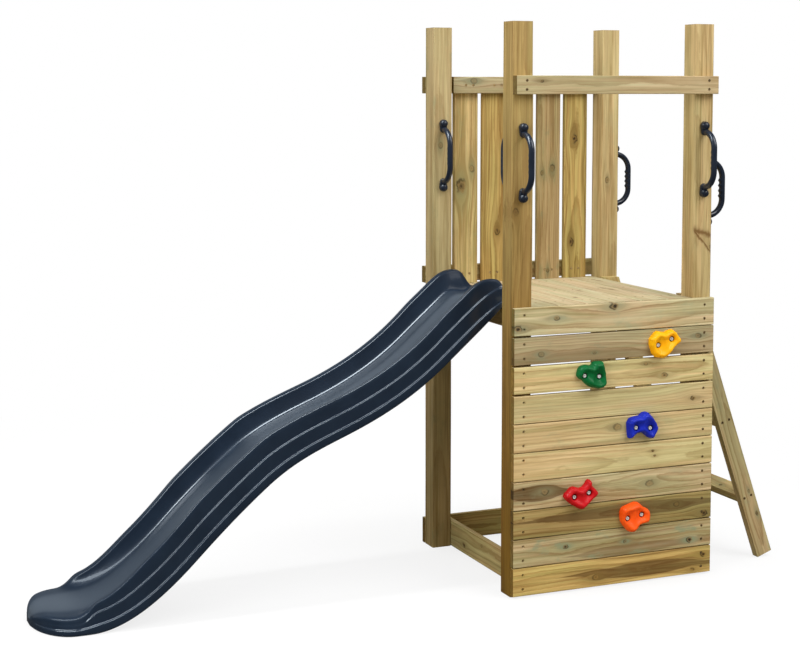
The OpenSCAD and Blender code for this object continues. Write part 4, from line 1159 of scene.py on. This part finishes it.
def studioFloor():
    bm = bmesh.new()
    bmesh.ops.create_grid(bm, x_segments=1, y_segments=1, size=studio["floorSize"] / 2,
                          matrix=Matrix.Translation((0, 0, -studio["floorDrop"])))
    floor = addObject("floor", meshOf("floor", bm))
    f = Finish("floorPaper")
    seen = f.node("LightPath", None, None, "Is Camera Ray")
    mirrored = f.node("LightPath", None, None, "Is Glossy Ray")
    away = f.node("VectorMath", {"operation": "LENGTH"}, {0: f.objectPlace()}, "Value")
    far = f.band(away, studio["whiteFrom"], studio["whiteTo"])
    whiteShare = studio["whiteNear"] + far * (1 - studio["whiteNear"])
    paper = f.node("BsdfDiffuse", None, {"Color": studio["paper"]})
    bounce = f.node("BsdfDiffuse", None, {"Color": studio["bounce"]})
    white = f.node("Emission", None, {"Strength": 1.0})
    dim = f.node("Emission", None, {"Strength": studio["mirrored"]})
    hidden = f.node("MixShader", None, {0: mirrored, 1: bounce, 2: dim})
    shown = f.node("MixShader", None, {0: whiteShare, 1: paper, 2: white})
    f.node("OutputMaterial", None, {"Surface": f.node("MixShader", None, {0: seen, 1: hidden, 2: shown})})
    floor.data.materials.append(f.material)


def studioWorld():
    s = studio
    world = bpy.data.worlds.new("studioWorld")
    bpy.context.scene.world = world
    f = Finish("studioWorld", world)
    seen = f.node("LightPath", None, None, "Is Camera Ray")
    mirrored = f.node("LightPath", None, None, "Is Glossy Ray")
    toX, toY, toZ = f.parts(f.node("TexCoord", None, None, "Generated"))
    upward = f.band(toZ + toX * s["aslant"] - toY * s["aslant"], s["aboveFrom"], s["aboveTo"])
    backward = f.band(toY, s["behindFrom"], s["behindTo"])
    low = 1.0 - f.band(toZ, s["lowFull"], s["lowGone"])
    soft = s["around"] + upward * s["above"]
    sheen = s["before"] + backward * low * s["behind"]
    strength = soft + mirrored * (sheen - soft)
    strength = strength + seen * (1.0 - strength)
    colour = f.blend(mirrored, s["white"], s["glossTint"])
    background = f.node("Background", None, {"Color": colour, "Strength": strength})
    f.node("OutputWorld", None, {"Surface": background})


def studioLamps():
    for lamp in studio["lamps"]:
        light = bpy.data.lights.new(lamp["name"], "AREA")
        light.energy = lamp["power"]
        light.color = lamp.get("colour", studio["white"][:3])
        light.shape = "RECTANGLE"
        light.size, light.size_y = lamp["size"]
        body = addObject(lamp["name"], light)
        body.visible_glossy = lamp.get("lights") != "diffuse"
        body.visible_diffuse = lamp.get("lights") != "gloss"
        body.location = lamp["at"]
        toward = Vector(lamp["aim"]) - Vector(lamp["at"])
        body.rotation_euler = toward.to_track_quat("-Z", "Y").to_euler()


studioFloor()
studioWorld()
studioLamps()

# Camera at the photograph's viewpoint
cameraView = {"at": (-2.0459, -4.8009, 1.5971), "yaw": 22.683, "pitch": 4.615, "lens": 73.35,
              "sensor": 36, "shift": -0.14}
cameraData = bpy.data.cameras.new("camera")
cameraData.lens = cameraView["lens"]
cameraData.sensor_width = cameraView["sensor"]
cameraData.shift_y = cameraView["shift"]
camera = addObject("camera", cameraData)
camera.location = cameraView["at"]
camera.rotation_euler = (math.radians(90 - cameraView["pitch"]), 0, -math.radians(cameraView["yaw"]))
bpy.context.scene.camera = camera
bpy.context.scene.view_settings.view_transform = "Standard"
print("studio and camera set")
